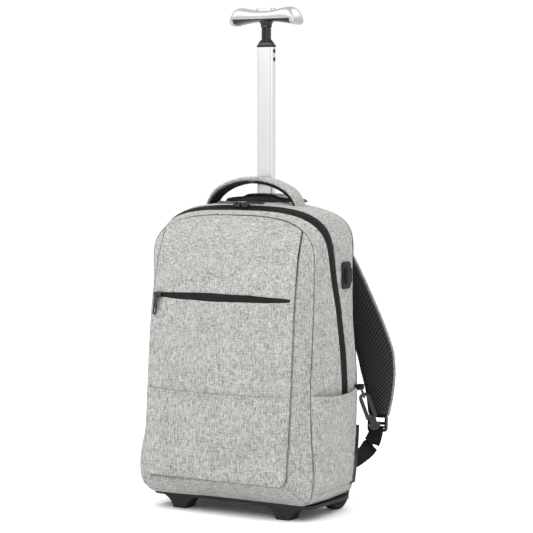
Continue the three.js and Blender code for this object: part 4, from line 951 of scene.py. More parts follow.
def pad(name, z0, z1, corner):
    """A padded field of the back: crowned, stitched down round its edge, with a channel in its middle."""
    columns, count = 91, 66
    u = end_spread(columns)
    v = end_spread(count)
    round_off = 1 - corner * np.abs(v) ** 6
    x = u[:, None] * PAD_WIDTH / 2 * round_off[None, :]
    z = mix(z0, z1, (v + 1) / 2)[None, :] * np.ones((columns, 1))
    near = BACK_SEAM_Y + CLOTH_WALL + 2 * SEAM_GAP
    grid = np.stack([x, np.full_like(x, near), z], -1)
    normal = grid_normals(grid, REARWARD)
    side, foot, top = edge_distances(grid)
    edge = np.minimum(np.minimum(side, foot), top)
    crown = (1 - u[:, None] ** 8) * (1 - np.abs(v[None, :]) ** 5)
    channel = 5.0 * np.exp(-((x / 13.0) ** 2)) * smooth(edge / 16)
    lift = 1.6 + (PAD_WALL - 1.6) * smooth(edge / 15) * (0.86 + 0.14 * crown) - channel
    stitch = np.exp(-(((edge - 5.5) / 1.1) ** 2))
    lift = lift - 1.4 * stitch + 0.5 * np.exp(-(((edge - 2.6) / 1.4) ** 2)) * (edge < 5)
    lift = lift + pucker(grid[..., 2] + x, np.abs(edge - 5.5), 71, 0.35, 9, 5)
    lift = lift + 0.3 * fractal(grid, 26.0, 73) * smooth(edge / 12)
    return cloth_grid(f"{name}_mesh", grid, normal, np.minimum(lift, PAD_WALL + 0.4), 0.0, turn=True)


# The centre line of a shoulder strap's pad, from its sewn top end to its lower end
STRAP_LINE = table(
    "drop out stand width",
    (0.0, 0.0, 0.02, 0.9),
    (0.03, 0.02, 0.04, 0.93),
    (0.08, 0.08, 0.34, 0.97),
    (0.17, 0.21, 0.68, 1.0),
    (0.42, 0.54, 0.95, 1.0),
    (0.57, 0.73, 1.0, 1.0),
    (0.68, 0.86, 0.97, 0.98),
    (0.79, 0.935, 0.88, 0.88),
    (0.89, 0.98, 0.78, 0.7),
    (1.0, 0.99, 0.68, 0.52),
)
STRAP_WIDTH = 66.0
STRAP_PAD_WALL = 8.0
STRAP_COVER_WALL = 3.4
STRAP_START_X = 62.0
STRAP_REACH = 108.0
STRAP_TOP_Z = 446.0
STRAP_DROP = 300.0
STRAP_STAND = 38.0


def curve_through(points, count):
    """A centripetal Catmull-Rom curve through points, with its unit tangents."""
    points = np.asarray(points, float)
    first = 2 * points[0] - points[1]
    last = 2 * points[-1] - points[-2]
    p = np.vstack([first, points, last])
    n = len(points)
    at = np.linspace(0, n - 1, count)
    curve = []
    for value in at:
        i = min(int(value), n - 2)
        t = value - i
        p0, p1, p2, p3 = p[i:i + 4]
        d0, d1, d2 = [max(np.linalg.norm(b - a) ** 0.5, 1e-4) for a, b in ((p0, p1), (p1, p2), (p2, p3))]
        m1 = ((p1 - p0) / d0 - (p2 - p0) / (d0 + d1) + (p2 - p1) / d1) * d1
        m2 = ((p2 - p1) / d1 - (p3 - p1) / (d1 + d2) + (p3 - p2) / d2) * d1
        curve.append(
            (2 * t**3 - 3 * t**2 + 1) * p1 + (t**3 - 2 * t**2 + t) * m1
            + (3 * t**2 - 2 * t**3) * p2 + (t**3 - t**2) * m2
        )
    curve = np.array(curve)
    tangent = np.gradient(curve, axis=0)
    return curve, tangent / np.linalg.norm(tangent, axis=1, keepdims=True), at


def unit(v):
    v = np.asarray(v, float)
    return v / np.linalg.norm(v, axis=-1, keepdims=True)


def band(name, centre, across, facing, width, near, far, sides=36, power=0.42, extra=None):
    """A padded or flat band along a line: rings of a rounded section, closed at both ends."""
    n = len(centre)
    a = np.linspace(0, 2 * math.pi, sides, endpoint=False)
    c = rounded(np.cos(a), power)
    s = rounded(np.sin(a), power * 1.25)
    width = np.broadcast_to(width, n)
    near = np.broadcast_to(near, n)
    far = np.broadcast_to(far, n)
    middle = (near + far) / 2
    half = (far - near) / 2
    offset = middle[:, None] + half[:, None] * s[None, :]
    if extra is not None:
        offset = offset + extra(c, s)
    points = (
        centre[:, None] + across[:, None] * (width[:, None] / 2 * c[None, :])[..., None]
        + facing[:, None] * offset[..., None]
    )
    run = along(centre)
    uv = np.stack([width[:, None] / 2 * c[None, :], run[:, None] * np.ones((1, sides))], -1)
    return mesh_object(name, points.reshape(-1, 3), ring_faces(n, sides), uv.reshape(-1, 2))


def strap_frames(count=110):
    rear = BACK_SEAM_Y + CLOTH_WALL + STRAP_PAD_WALL + 2 * SEAM_GAP
    line = np.column_stack([
        STRAP_START_X + STRAP_REACH * STRAP_LINE["out"], rear + STRAP_STAND * STRAP_LINE["stand"],
        STRAP_TOP_Z - STRAP_DROP * STRAP_LINE["drop"],
    ])
    centre, tangent, at = curve_through(line, count)
    facing = unit(np.cross(tangent, (1.0, 0, 0)))
    across = np.tile([1.0, 0, 0], (count, 1))
    width = STRAP_WIDTH * np.interp(at, np.arange(len(line)), STRAP_LINE["width"])
    return centre, tangent, facing, across, width


def mirror_x(obj, name):
    """A mirrored copy of a right hand piece, for the left."""
    mesh = obj.data.copy()
    mesh.name = name
    mesh.transform(Matrix.Scale(-1, 4, (1, 0, 0)))
    mesh.flip_normals()
    copy = bpy.data.objects.new(name, mesh)
    bpy.context.scene.collection.objects.link(copy)
    return copy


def crease_in(run, places, deep, width):
    total = np.zeros_like(run)
    for place in places:
        total = total + deep * np.exp(-(((run - place) / width) ** 2))
    return total


def strap_pad():
    """The strap's padding of air mesh, which faces the bag, with creases where the strap bends."""
    centre, _, facing, across, width = strap_frames()
    run = along(centre)
    crease = crease_in(run, (206.0, 226.0), 1.6, 4.0)

    def extra(c, s):
        edge = np.clip(1 - np.abs(c), 0, 1)
        stitch = -1.2 * np.exp(-(((edge - 0.14) / 0.045) ** 2))
        return stitch[None, :] * np.sign(s)[None, :] * 0.8 - crease[:, None] * np.sign(s)[None, :] * 0.5

    return band("strap_pad_mesh_right", centre, across, facing, width - 3, 0.3, STRAP_PAD_WALL, 44,
                0.5, extra)


def strap_cover():
    """The strap's outer cloth, which faces away from the bag."""
    centre, _, facing, across, width = strap_frames()
    return band("strap_cover_cloth_right", centre, across, facing, width, -0.3 - STRAP_COVER_WALL,
                -0.3, 40, 0.55)


def strap_piping():
    """The light binding that covers the strap's edges, all the way round its lower end."""
    centre, _, facing, across, width = strap_frames()
    reach = across * (width / 2 - 0.6)[:, None]
    loop = np.vstack([centre + reach + facing * 0.6, (centre - reach + facing * 0.6)[::-1]])
    return tube("strap_binding_right", [loop], 2.1, 8)


# The handle's arch
HANDLE_SPAN = 158.0
HANDLE_RISE = 36.0
HANDLE_ARCH = 0.65
HANDLE_END = 0.6
HANDLE_WIDTH = 30.0
HANDLE_PAD_WALL = 7.0
HANDLE_BASE_WALL = 3.5
HANDLE_Y = BACK_SEAM_Y - 51.0


def handle_frames(count=90):
    s = end_spread(count)
    rise = HANDLE_RISE * np.maximum(1 - s * s, 0) ** HANDLE_ARCH
    centre = np.stack([s * HANDLE_SPAN / 2, np.full(count, HANDLE_Y), rise], -1)
    tangent = unit(np.gradient(centre, axis=0))
    facing = np.stack([-tangent[:, 2], np.zeros(count), tangent[:, 0]], -1)
    centre[:, 2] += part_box("carry_handle_base")[0].z / MM - 5 * np.abs(s) ** 12
    across = np.tile([0, 1.0, 0], (count, 1))
    t = (s + 1) / 2
    full = np.minimum(1, HANDLE_END + 4 * np.minimum(t, 1 - t))
    return centre, across, facing, full


def handle_pad():
    centre, across, facing, full = handle_frames()
    run = along(centre)

    def extra(c, s):
        seam = -0.8 * np.exp(-(((1 - np.abs(c) - 0.17) / 0.06) ** 2)) * (s > 0.2)
        return seam[None, :] + (0.25 * np.sin(run / 3.1) * np.sin(run / 11.0))[:, None] * (s > 0.2)

    return band("carry_handle_cloth", centre, across, facing, HANDLE_WIDTH, 0.0,
                HANDLE_PAD_WALL * full, 44, 0.62, extra)


def handle_base():
    centre, across, facing, full = handle_frames()
    return band("carry_handle_underside", centre, across, facing, HANDLE_WIDTH - 2.4,
                -0.3 - HANDLE_BASE_WALL * full, -0.3, 32, 0.5)


class Nodes:
    """A short way to write a material's node tree."""

    def __init__(self, name):
        self.material = bpy.data.materials.new(name)
        self.material.use_nodes = True
        self.tree = self.material.node_tree
        self.shader = self.tree.nodes["Principled BSDF"]

    def add(self, kind, **inputs):
        node = self.tree.nodes.new(kind)
        for key, value in inputs.items():
            if key.startswith("_"):
                setattr(node, key[1:], value)
            else:
                self.put(node.inputs[key.replace("_", " ")], value)
        return node

    def put(self, socket, value):
        if hasattr(value, "is_output"):
            self.tree.links.new(value, socket)
        else:
            socket.default_value = value

    def math(self, operation, a, b=0.0, clamp=False):
        node = self.add("ShaderNodeMath", _operation=operation, _use_clamp=clamp)
        self.put(node.inputs[0], a)
        self.put(node.inputs[1], b)
        return node.outputs[0]

    def coordinates(self, scale=(1, 1, 1), uv=False, turn=0.0):
        if uv:
            source = self.add("ShaderNodeUVMap", _uv_map="weave").outputs[0]
        else:
            source = self.add("ShaderNodeTexCoord").outputs["Object"]
        mapping = self.add("ShaderNodeMapping", Vector=source, Scale=scale, Rotation=(0, 0, turn))
        return mapping.outputs[0]

    def noise(self, vector, scale=1.0, detail=2.0, roughness=0.55):
        return self.add("ShaderNodeTexNoise", Vector=vector, Scale=scale, Detail=detail,
                        Roughness=roughness).outputs["Fac"]

    def ramp(self, value, *stops):
        node = self.add("ShaderNodeValToRGB", Fac=value)
        elements = node.color_ramp.elements
        while len(elements) < len(stops):
            elements.new(0.5)
        for element, (place, colour) in zip(elements, stops):
            element.position = place
            element.color = (*colour, 1)
        return node.outputs[0]

    def blend(self, factor, a, b, kind="MIX"):
        node = self.add("ShaderNodeMix", _data_type="RGBA", _blend_type=kind)
        self.put(node.inputs[0], factor)
        self.put(node.inputs[6], a)
        self.put(node.inputs[7], b)
        return node.outputs[2]

    def bump(self, height, distance, strength=1.0, under=None):
        node = self.add("ShaderNodeBump", Height=height, Distance=distance, Strength=strength)
        if under is not None:
            self.put(node.inputs["Normal"], under)
        return node.outputs[0]

    def set(self, **inputs):
        for key, value in inputs.items():
            self.put(self.shader.inputs[key.replace("_", " ")], value)
        return self.material


def grey(value, warm=0.0):
    return (value * (1 + warm), value, value * (1 - warm))


def weave_height(nodes, pitch):
    """A plain weave's height from the cloth's own coordinates: threads that cross over and under."""
    uv = nodes.coordinates(uv=True)
    parts = nodes.add("ShaderNodeSeparateXYZ", Vector=uv)
    turn = math.pi / (pitch * MM)
    u = nodes.math("MULTIPLY", parts.outputs[0], turn)
    v = nodes.math("MULTIPLY", parts.outputs[1], turn)
    across = nodes.math("ABSOLUTE", nodes.math("SINE", u))
    down = nodes.math("ABSOLUTE", nodes.math("SINE", v))
    over = nodes.math("MULTIPLY", nodes.math("COSINE", u), nodes.math("COSINE", v))
    over = nodes.math("ADD", nodes.math("MULTIPLY", over, 0.5), 0.5)
    warp = nodes.math("MULTIPLY", across, over)
    weft = nodes.math("MULTIPLY", down, nodes.math("SUBTRACT", 1.0, over))
    return nodes.math("MAXIMUM", warp, weft)


def cloth_material():
    """Melange plain weave: light and dark yarns, each thread uneven along its length, with painted shade in
    the weave's low places.
    """
    nodes = Nodes("melange_cloth")
    warp = nodes.noise(nodes.coordinates((680, 680, 105)), 1, 3, 0.65)
    weft = nodes.noise(nodes.coordinates((120, 120, 680)), 1, 3, 0.65)
    speck = nodes.noise(nodes.coordinates((640, 640, 640)), 1, 3, 0.7)
    cloud = nodes.noise(nodes.coordinates((40, 40, 26)), 1, 2, 0.5)
    height = weave_height(nodes, 0.75)
    threads = nodes.math("ADD", nodes.math("MULTIPLY", warp, 0.5), nodes.math("MULTIPLY", weft, 0.34))
    tone = nodes.math("ADD", threads, nodes.math("MULTIPLY", speck, 0.3))
    tone = nodes.math("ADD", tone, nodes.math("MULTIPLY", cloud, 0.06))
    tone = nodes.math("SUBTRACT", tone, 0.1)
    colour = nodes.ramp(
        tone,
        (0.37, (0.098, 0.098, 0.093)),
        (0.455, (0.252, 0.252, 0.242)),
        (0.53, (0.364, 0.364, 0.35)),
        (0.62, (0.5, 0.5, 0.482)),
    )
    # Painted shade: the colour is darkened where the weave is low, between and under the threads.
    painted_weave_shade = nodes.ramp(height, (0.0, (0.62, 0.62, 0.61)), (0.75, (1, 1, 1)))
    colour = nodes.blend(1.0, colour, painted_weave_shade, "MULTIPLY")
    fuzz = nodes.noise(nodes.coordinates((900, 900, 900)), 1, 3, 0.7)
    low = nodes.bump(fuzz, 0.00025, 0.5)
    normal = nodes.bump(height, 0.00016, 0.7, low)
    return nodes.set(Base_Color=colour, Roughness=0.93, Normal=normal, Sheen_Weight=0.12,
                     Sheen_Roughness=0.5, Specular_IOR_Level=0.25)


def mesh_material():
    """Black air mesh: a field of small diamond holes over a dark ground, with painted shade inside the
    holes.
    """
    nodes = Nodes("air_mesh")
    parts = nodes.add("ShaderNodeSeparateXYZ", Vector=nodes.coordinates(uv=True, turn=math.pi / 4))
    turn = 2 * math.pi / (4.4 * MM)
    u = nodes.math("SINE", nodes.math("MULTIPLY", parts.outputs[0], turn))
    v = nodes.math("SINE", nodes.math("MULTIPLY", parts.outputs[1], turn))
    hole = nodes.math("MULTIPLY", nodes.math("ADD", u, 1.0), nodes.math("ADD", v, 1.0))
    hole = nodes.math("MULTIPLY", hole, 0.25, True)
    rim = nodes.ramp(hole, (0.3, (1, 1, 1)), (0.62, (0, 0, 0)))
    fine = nodes.noise(nodes.coordinates((1800, 1800, 1800)), 1, 2)
    # Painted shade: the holes are painted far darker than the threads round them, as the shade inside them.
    colour = nodes.ramp(hole, (0.2, grey(0.04)), (0.42, grey(0.006)), (0.6, grey(0.0015)))
    colour = nodes.blend(0.2, colour, nodes.ramp(fine, (0.3, grey(0.002)), (0.7, grey(0.03))), "MIX")
    normal = nodes.bump(rim, 0.0005, 0.9, nodes.bump(fine, 0.0002, 0.4))
    return nodes.set(Base_Color=colour, Roughness=0.9, Normal=normal, Specular_IOR_Level=0.08)


def webbing_material(name, level):
    """Black webbing or tape: fine ribs across it."""
    nodes = Nodes(name)
    height = weave_height(nodes, 1.1)
    fine = nodes.noise(nodes.coordinates((1300, 1300, 1300)), 1, 2)
    cloud = nodes.noise(nodes.coordinates((60, 60, 60)), 1, 3)
    tone = nodes.math("ADD", nodes.math("MULTIPLY", fine, 0.5), nodes.math("MULTIPLY", cloud, 0.5))
    colour = nodes.ramp(tone, (0.3, grey(level * 0.6)), (0.7, grey(level * 1.9)))
    normal = nodes.bump(height, 0.00025, 0.8, nodes.bump(fine, 0.0002, 0.4))
    return nodes.set(Base_Color=colour, Roughness=0.72, Normal=normal, Specular_IOR_Level=0.12)


def plastic_material(name, level, rough, grain, depth, coat, specular):
    """Moulded plastic with a fine spark texture and slightly worn patches."""
    nodes = Nodes(name)
    fine = nodes.noise(nodes.coordinates((grain, grain, grain)), 1, 2, 0.5)
    wear = nodes.noise(nodes.coordinates((28, 28, 28)), 1, 4, 0.6)
    colour = nodes.ramp(wear, (0.3, grey(level * 0.8)), (0.75, grey(level * 1.35)))
    roughness = nodes.math("ADD", nodes.math("MULTIPLY", wear, 0.16), rough - 0.08)
    normal = nodes.bump(fine, depth, 0.6)
    return nodes.set(Base_Color=colour, Roughness=roughness, Normal=normal, Coat_Weight=coat,
                     Coat_Roughness=0.12, Specular_IOR_Level=specular)


def metal_material(name, level, rough, metallic, stretch):
    """Satin metal: very fine drawn lines and a slightly uneven finish."""
    nodes = Nodes(name)
    lines = nodes.noise(nodes.coordinates(stretch), 1, 2, 0.5)
    cloud = nodes.noise(nodes.coordinates((18, 18, 18)), 1, 3, 0.6)
    colour = nodes.ramp(lines, (0.2, grey(level * 0.94)), (0.8, grey(level)))
    roughness = nodes.math("ADD", nodes.math("MULTIPLY", cloud, 0.08), rough - 0.04)
    normal = nodes.bump(lines, 0.00001, 0.5)
    return nodes.set(Base_Color=colour, Roughness=roughness, Normal=normal, Metallic=metallic)


CLOTH = cloth_material()
MESH = mesh_material()
WEBBING = webbing_material("webbing", 0.006)
TAPE = webbing_material("zip_tape", 0.007)
PLASTIC = plastic_material("moulded_plastic", 0.011, 0.55, 900, 0.00012, 0.0, 0.25)
GLOSS = plastic_material("gloss_plastic", 0.006, 0.3, 500, 0.00002, 0.1, 0.3)
RUBBER = plastic_material("rubber", 0.01, 0.6, 700, 0.0001, 0.0, 0.2)
TYRE = plastic_material("tyre_rubber", 0.012, 0.8, 800, 0.0001, 0.0, 0.2)
DARK_METAL = plastic_material("dark_metal", 0.01, 0.28, 400, 0.00002, 0.3, 0.5)
ALUMINIUM = metal_material("anodised_aluminium", 0.69, 0.28, 1.0, (900, 900, 12))
SATIN = metal_material("satin_silver", 0.4, 0.34, 0.75, (12, 900, 900))
# Painted shade: a dark finish for the tubes that darken the front pocket's seam grooves.
SEAM_SHADE_TUBE = webbing_material("seam_thread", 0.05)


def dress(obj, material, body="bag", stands_for=()):
    """Gives a piece its material and its body, and hides the nodes that it stands for."""
    obj.data.materials.clear()
    obj.data.materials.append(material)
    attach(obj, body)
    if stands_for:
        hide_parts(*stands_for)
    return obj


def sides(make):
    """A right hand piece and its mirrored copy on the left."""
    right = make()
    return [(right, "right"), (mirror_x(right, right.name.replace("_right", "_left")), "left")]


dress(front_gusset(), CLOTH, stands_for=["front_gusset"])
dress(rear_gusset(), CLOTH, stands_for=["rear_gusset"])
dress(main_zip(), TAPE, stands_for=["zipper_tape"])
dress(front_panel(), CLOTH, stands_for=["front_panel"])
gusset, gusset_surface = pocket_gusset()
dress(gusset, CLOTH, stands_for=["pocket_gusset"])
dress(slip_pocket(), CLOTH, stands_for=["slip_pocket"])
dress(front_zip_strip(), TAPE, stands_for=["front_zipper"])
dress(back_panel(), MESH, stands_for=["back_panel"])
for pad_sizes in PADS:
    dress(pad(*pad_sizes), MESH, stands_for=[pad_sizes[0]])
for side, label in ((1, "right"), (-1, "left")):
    dress(side_pocket(side), CLOTH, stands_for=[f"side_pocket_{label}"])
for make, material, slot, node in (
    (strap_pad, MESH, "mesh", "strap_pad"),
    (strap_cover, CLOTH, "cloth", "strap_cover"),
    (strap_piping, CLOTH, "cloth", None),
):
    for piece, label in sides(make):
        dress(piece, material, stands_for=[f"{node}_{label}"] if node else [])
dress(handle_pad(), CLOTH, stands_for=["carry_handle_pad"])
dress(handle_base(), WEBBING, stands_for=["carry_handle_base"])


def seam_threads():
    """Painted shade: dark tubes laid in the grooves between the front pocket's pieces, to darken the seams
    as their shade would.
    """
    inner, outer, mitre = pocket_edges()
    lines = [inner - (0, CLOTH_WALL, 0), outer]
    lines += [gusset_surface[row][1:-1] for row in (mitre, len(inner) - 1 - mitre)]
    return tube("seam_threads", lines, 0.34)


# Painted shade: dark tubes in the front pocket's seam grooves.
dress(seam_threads(), SEAM_SHADE_TUBE)


def loft_rings(name, rings):
    """A closed form through rings of points, with flat ends."""
    rings = np.asarray(rings, float)
    return mesh_object(name, rings.reshape(-1, 3), ring_faces(*rings.shape[:2]))


def outline(width, depth, radius, steps=10):
    """A rounded rectangle about the origin, as points."""
    r = min(radius, width / 2 - 0.01, depth / 2 - 0.01)
    points = []
    for k, (sx, sy) in enumerate(((1, 1), (-1, 1), (-1, -1), (1, -1))):
        turn = (k + np.linspace(0, 1, steps)) * math.pi / 2
        points.append(np.column_stack([
            sx * (width / 2 - r) + r * np.cos(turn), sy * (depth / 2 - r) + r * np.sin(turn)
        ]))
    return np.vstack(points)


def level_ring(width, depth, radius, z, steps=10):
    """A rounded rectangle round the post's axis, at a height."""
    flat = outline(width, depth, radius, steps)
    return np.column_stack([flat[:, 0], flat[:, 1] + POST_Y, np.full(len(flat), z)])


def combine(obj, tool, operation):
    """Cuts, joins or meets a piece with another, which is used up."""
    change = obj.modifiers.new("change", "BOOLEAN")
    change.object = tool
    change.operation = operation
    change.solver = "EXACT"
    depsgraph = bpy.context.evaluated_depsgraph_get()
    mesh = bpy.data.meshes.new_from_object(obj.evaluated_get(depsgraph))
    obj.modifiers.clear()
    obj.data = mesh
    bpy.data.objects.remove(tool)
    return obj


def box_form(x0, x1, y0, y1, z0, z1):
    ring = np.array([(x0, y0), (x1, y0), (x1, y1), (x0, y1)], float)
    return loft_rings("tool", [np.column_stack([ring, np.full(4, z)]) for z in (z0, z1)])


# Edges over the first angle, in degrees, are rounded; edges under the second are shaded smoothly
EDGE_ANGLE = 32
SMOOTH_ANGLE = 34


def smooth_group():
    """A node group that shades smoothly across edges under an angle."""
    group = bpy.data.node_groups.new("smooth_by_angle", "GeometryNodeTree")
    group.interface.new_socket("Geometry", in_out="INPUT", socket_type="NodeSocketGeometry")
    group.interface.new_socket("Geometry", in_out="OUTPUT", socket_type="NodeSocketGeometry")
    start = group.nodes.new("NodeGroupInput")
    end = group.nodes.new("NodeGroupOutput")
    angle = group.nodes.new("GeometryNodeInputMeshEdgeAngle")
    small = group.nodes.new("FunctionNodeCompare")
    small.operation = "LESS_THAN"
    small.inputs[1].default_value = math.radians(SMOOTH_ANGLE)
    faces = group.nodes.new("GeometryNodeSetShadeSmooth")
    faces.domain = "FACE"
    edges = group.nodes.new("GeometryNodeSetShadeSmooth")
    edges.domain = "EDGE"
    link = group.links.new
    link(angle.outputs["Unsigned Angle"], small.inputs[0])
    link(start.outputs[0], faces.inputs["Geometry"])
    link(faces.outputs[0], edges.inputs["Geometry"])
    link(small.outputs[0], edges.inputs["Shade Smooth"])
    link(edges.outputs[0], end.inputs[0])
    return group


SMOOTH = smooth_group()


def soften(obj, width):
    """Rounds a hard piece's edges by a width, if there is one, and shades it smoothly between them."""
    if width:
        bevel = obj.modifiers.new("edges", "BEVEL")
        bevel.width = width * MM
        bevel.segments = 3
        bevel.limit_method = "ANGLE"
        bevel.angle_limit = math.radians(EDGE_ANGLE)
    change = obj.modifiers.new("smooth", "NODES")
    change.node_group = SMOOTH


# The grip from its middle (along 0) to its end (along 1): its top, underside and depth
GRIP_SECTIONS = table(
    "along top under depth",
    (0.0, 0.0, 0.0, 0.94),
    (0.3, 0.2, 0.1, 0.96),
    (0.58, 0.8, 0.42, 1.0),
    (0.76, 1.0, 0.74, 1.0),
    (0.86, 0.45, 0.9, 0.99),
    (0.93, -0.75, 1.0, 0.94),
    (0.98, -2.1, 0.95, 0.8),
    (1.0, -3.2, 0.6, 0.56),
)
GRIP_LENGTH = 118.0
GRIP_DEPTH = 36.0
GRIP_UNDERSIDE = BODY_TOP + POST_RISE + 38.5
GRIP_SADDLE = 17.5
GRIP_HUMP = 5.0
GRIP_DROOP = 5.5
SHELL_SPLIT = GRIP_UNDERSIDE + 4.5
SHELL_REACH = GRIP_LENGTH / 2 - 8.0
CREST = GRIP_UNDERSIDE + GRIP_SADDLE
BUTTON_LENGTH = 34.0
BUTTON_DEPTH = 15.0


def grip_form(name, shrink=0.0):
    """The grip's whole form: oval sections along X, with a saddle on top and rounded ends."""
    tip = 0.9 + 0.1 * np.sin(np.linspace(0, 1, 14)[1:] * math.pi / 2)
    share = np.concatenate([np.linspace(0, 0.9, 34), tip])
    share = np.concatenate([-share[::-1], share[1:]])
    turn = np.linspace(0, 2 * math.pi, 56, endpoint=False)
    round_c, round_s = rounded(np.cos(turn), 0.8), rounded(np.sin(turn), 0.8)
    rings = []
    for t in share:
        top = CREST + GRIP_HUMP * read(GRIP_SECTIONS, "along", "top", abs(t))
        under = GRIP_UNDERSIDE - GRIP_DROOP * read(GRIP_SECTIONS, "along", "under", abs(t))
        deep = GRIP_DEPTH / 2 * read(GRIP_SECTIONS, "along", "depth", abs(t)) - shrink
        high = (top - under) / 2 - shrink
        x = t * (GRIP_LENGTH / 2 - shrink)
        rings.append(np.column_stack([
            np.full(56, x), POST_Y + deep * round_c, (top + under) / 2 + high * round_s
        ]))
    return loft_rings(name, rings)


def grip_core(gap):
    """The room that the grip's shell leaves for the black body under it, with rounded ends."""
    half = SHELL_REACH - gap
    rings = []
    for z in (GRIP_UNDERSIDE - 40, SHELL_SPLIT - gap):
        ring = outline(2 * half, 120, 5)
        rings.append(np.column_stack([ring[:, 0], ring[:, 1] + POST_Y, np.full(len(ring), z)]))
    return loft_rings("tool", rings)


def grip_shell():
    shell = combine(grip_form("grip_shell_satin"), grip_core(0.0), "DIFFERENCE")
    well = [level_ring(BUTTON_LENGTH + 0.8, BUTTON_DEPTH + 0.8, BUTTON_DEPTH / 2, z)
            for z in (CREST - 8.0, CREST + 30.0)]
    return combine(shell, loft_rings("tool", well), "DIFFERENCE")


def grip_body():
    body = combine(grip_form("grip_body_black", 0.6), grip_core(0.5), "INTERSECT")
    neck = [
        level_ring(18, 13, 4.5, GRIP_UNDERSIDE - 7.8), level_ring(17, 12, 4.5, GRIP_UNDERSIDE - 7.0),
        level_ring(16.4, 11.4, 4.3, GRIP_UNDERSIDE - 5.0), level_ring(18, 13, 4.6, GRIP_UNDERSIDE - 2.2),
        level_ring(22, 15, 5.5, GRIP_UNDERSIDE + 0.4), level_ring(30, 19, 7, GRIP_UNDERSIDE + 3.6),
    ]
    return combine(body, loft_rings("tool", neck), "UNION")


def grip_button():
    """The release button on the grip: an oval with a softly domed top."""
    rings = [level_ring(BUTTON_LENGTH, BUTTON_DEPTH, BUTTON_DEPTH / 2, CREST - 4.1)]
    for k in range(8):
        t = k / 7 * math.pi / 2
        inset = 2.6 * (1 - math.cos(t))
        rings.append(level_ring(BUTTON_LENGTH - 2 * inset, BUTTON_DEPTH - 2 * inset,
                                BUTTON_DEPTH / 2 - inset, CREST + 1.9 + 1.7 * math.sin(t)))
    return loft_rings("grip_button_satin", rings)


def post_tube():
    """The post: a rounded tube with a fine groove down both edges of its broad faces."""
    ring = outline(POST_WIDTH, POST_DEPTH, POST_CORNER, 12)
    inner = outline(POST_WIDTH - 2 * POST_WALL, POST_DEPTH - 2 * POST_WALL, POST_CORNER - POST_WALL, 12)
    z0, z1 = BODY_TOP - POST_INSIDE, BODY_TOP + POST_RISE
    count = len(ring)
    points = np.vstack([
        np.column_stack([flat[:, 0], flat[:, 1] + POST_Y, np.full(count, z)])
        for flat, z in ((ring, z0), (ring, z1), (inner, z1), (inner, z0))
    ])
    tube_piece = mesh_object("post_tube_satin", points, ring_faces(4, count, loop=True))
    for x in (-11.6, 11.6):
        for y in (POST_Y - POST_DEPTH / 2, POST_Y + POST_DEPTH / 2):
            groove = box_form(x - 0.45, x + 0.45, y - 0.8, y + 0.8, z0 - 1, z1 + 1)
            combine(tube_piece, groove, "DIFFERENCE")
    for drop in PLUG_DROPS:
        turn = np.linspace(0, 2 * math.pi, 32, endpoint=False)
        rings = [
            np.column_stack([np.full(32, x), POST_Y + 3.5 * np.cos(turn), z1 - drop + 3.5 * np.sin(turn)])
            for x in (12.0, 16.0)
        ]
        combine(tube_piece, loft_rings("tool", rings), "DIFFERENCE")
    return tube_piece


# The webbing and the ladder lock that it runs through
WEBBING_WIDTH = 25.0
WEBBING_WALL = 1.6
LOCK_LENGTH = 26.0
LOCK_WALL = 5.0


def strap_webbing():
    """The webbing that comes out of the ladder lock's lower slot and runs to the rear edge."""
    centre, tangent, facing = strap_frames()[:3]
    end, down, face = centre[-1], tangent[-1], facing[-1]
    wall = WEBBING_WALL
    lock = end + down * (LOCK_LENGTH / 2 + 3 * SEAM_GAP) + face * STRAP_PAD_WALL / 2
    slot = (2.25 + 8.5) / 2
    off = LOCK_WALL / 2 + wall
    edge = float(girth(66.0, 1.0))
    seat = BACK_SEAM_Y + CLOTH_WALL + 2.5 + wall / 2 + 5 * SEAM_GAP
    points = [
        lock + down * (slot - wall / 2) - face * off,
        lock + down * slot,
        lock + down * (slot + 2 * wall) + face * (off + wall),
        lock + down * (LOCK_LENGTH / 2 + 2.5 * wall) + face * (off + 1.25 * wall),
        np.array([edge + 10.5, seat + 15.0, 89.8]),
        np.array([edge, seat + 6.0, 79.2]),
        np.array([edge - 8.4, seat + 2 * SEAM_GAP, 73.9]),
    ]
    line, way, at = curve_through(points, 80)
    turn = np.clip((at / (len(points) - 1) - 0.35) / 0.35, 0, 1)[:, None]
    side = unit(np.array([1.0, 0, 0]) * (1 - turn) + np.array([0.15, 0, 1.0]) * turn)
    out = unit(np.cross(way, side))
    side = unit(np.cross(out, way))
    return band("strap_webbing_right", line, side, out, WEBBING_WIDTH, -wall / 2, wall / 2, 28, 0.3)


WHEEL_RADIUS = 30.0
WHEEL_X = 113.5
WHEEL_Y = BACK_SEAM_Y - 2.5


def wheel_tyre():
    """A tyre with rounded shoulders and a shallow groove round its tread."""
    profile = [
        (20.4, -9), (27, -10), (28.6, -9.4), (29.6, -7.6), (30, -5), (30, -1.6), (29.3, -0.9),
        (29.3, 0.9), (30, 1.6), (30, 5), (29.6, 7.6), (28.6, 9.4), (27, 10), (20.4, 9),
    ]
    turns = np.linspace(0, 2 * math.pi, 64, endpoint=False)
    points = [(WHEEL_X + x, WHEEL_Y + r * math.cos(a), WHEEL_RADIUS + r * math.sin(a))
              for a in turns for r, x in profile]
    return mesh_object("wheel_tyre_rubber_right", points, ring_faces(64, len(profile), loop=True))


# The USB outlet's frame and flap: names, width, height, corner, rise and rounded lip
USB_FRAME = ("usb_base", "usb_frame", 26.0, 41.0, 6.0, 2.5, 1.2)
USB_FLAP = ("usb_cap", "usb_flap", 15.9, 25.0, 5.0, 5.0, 1.6)


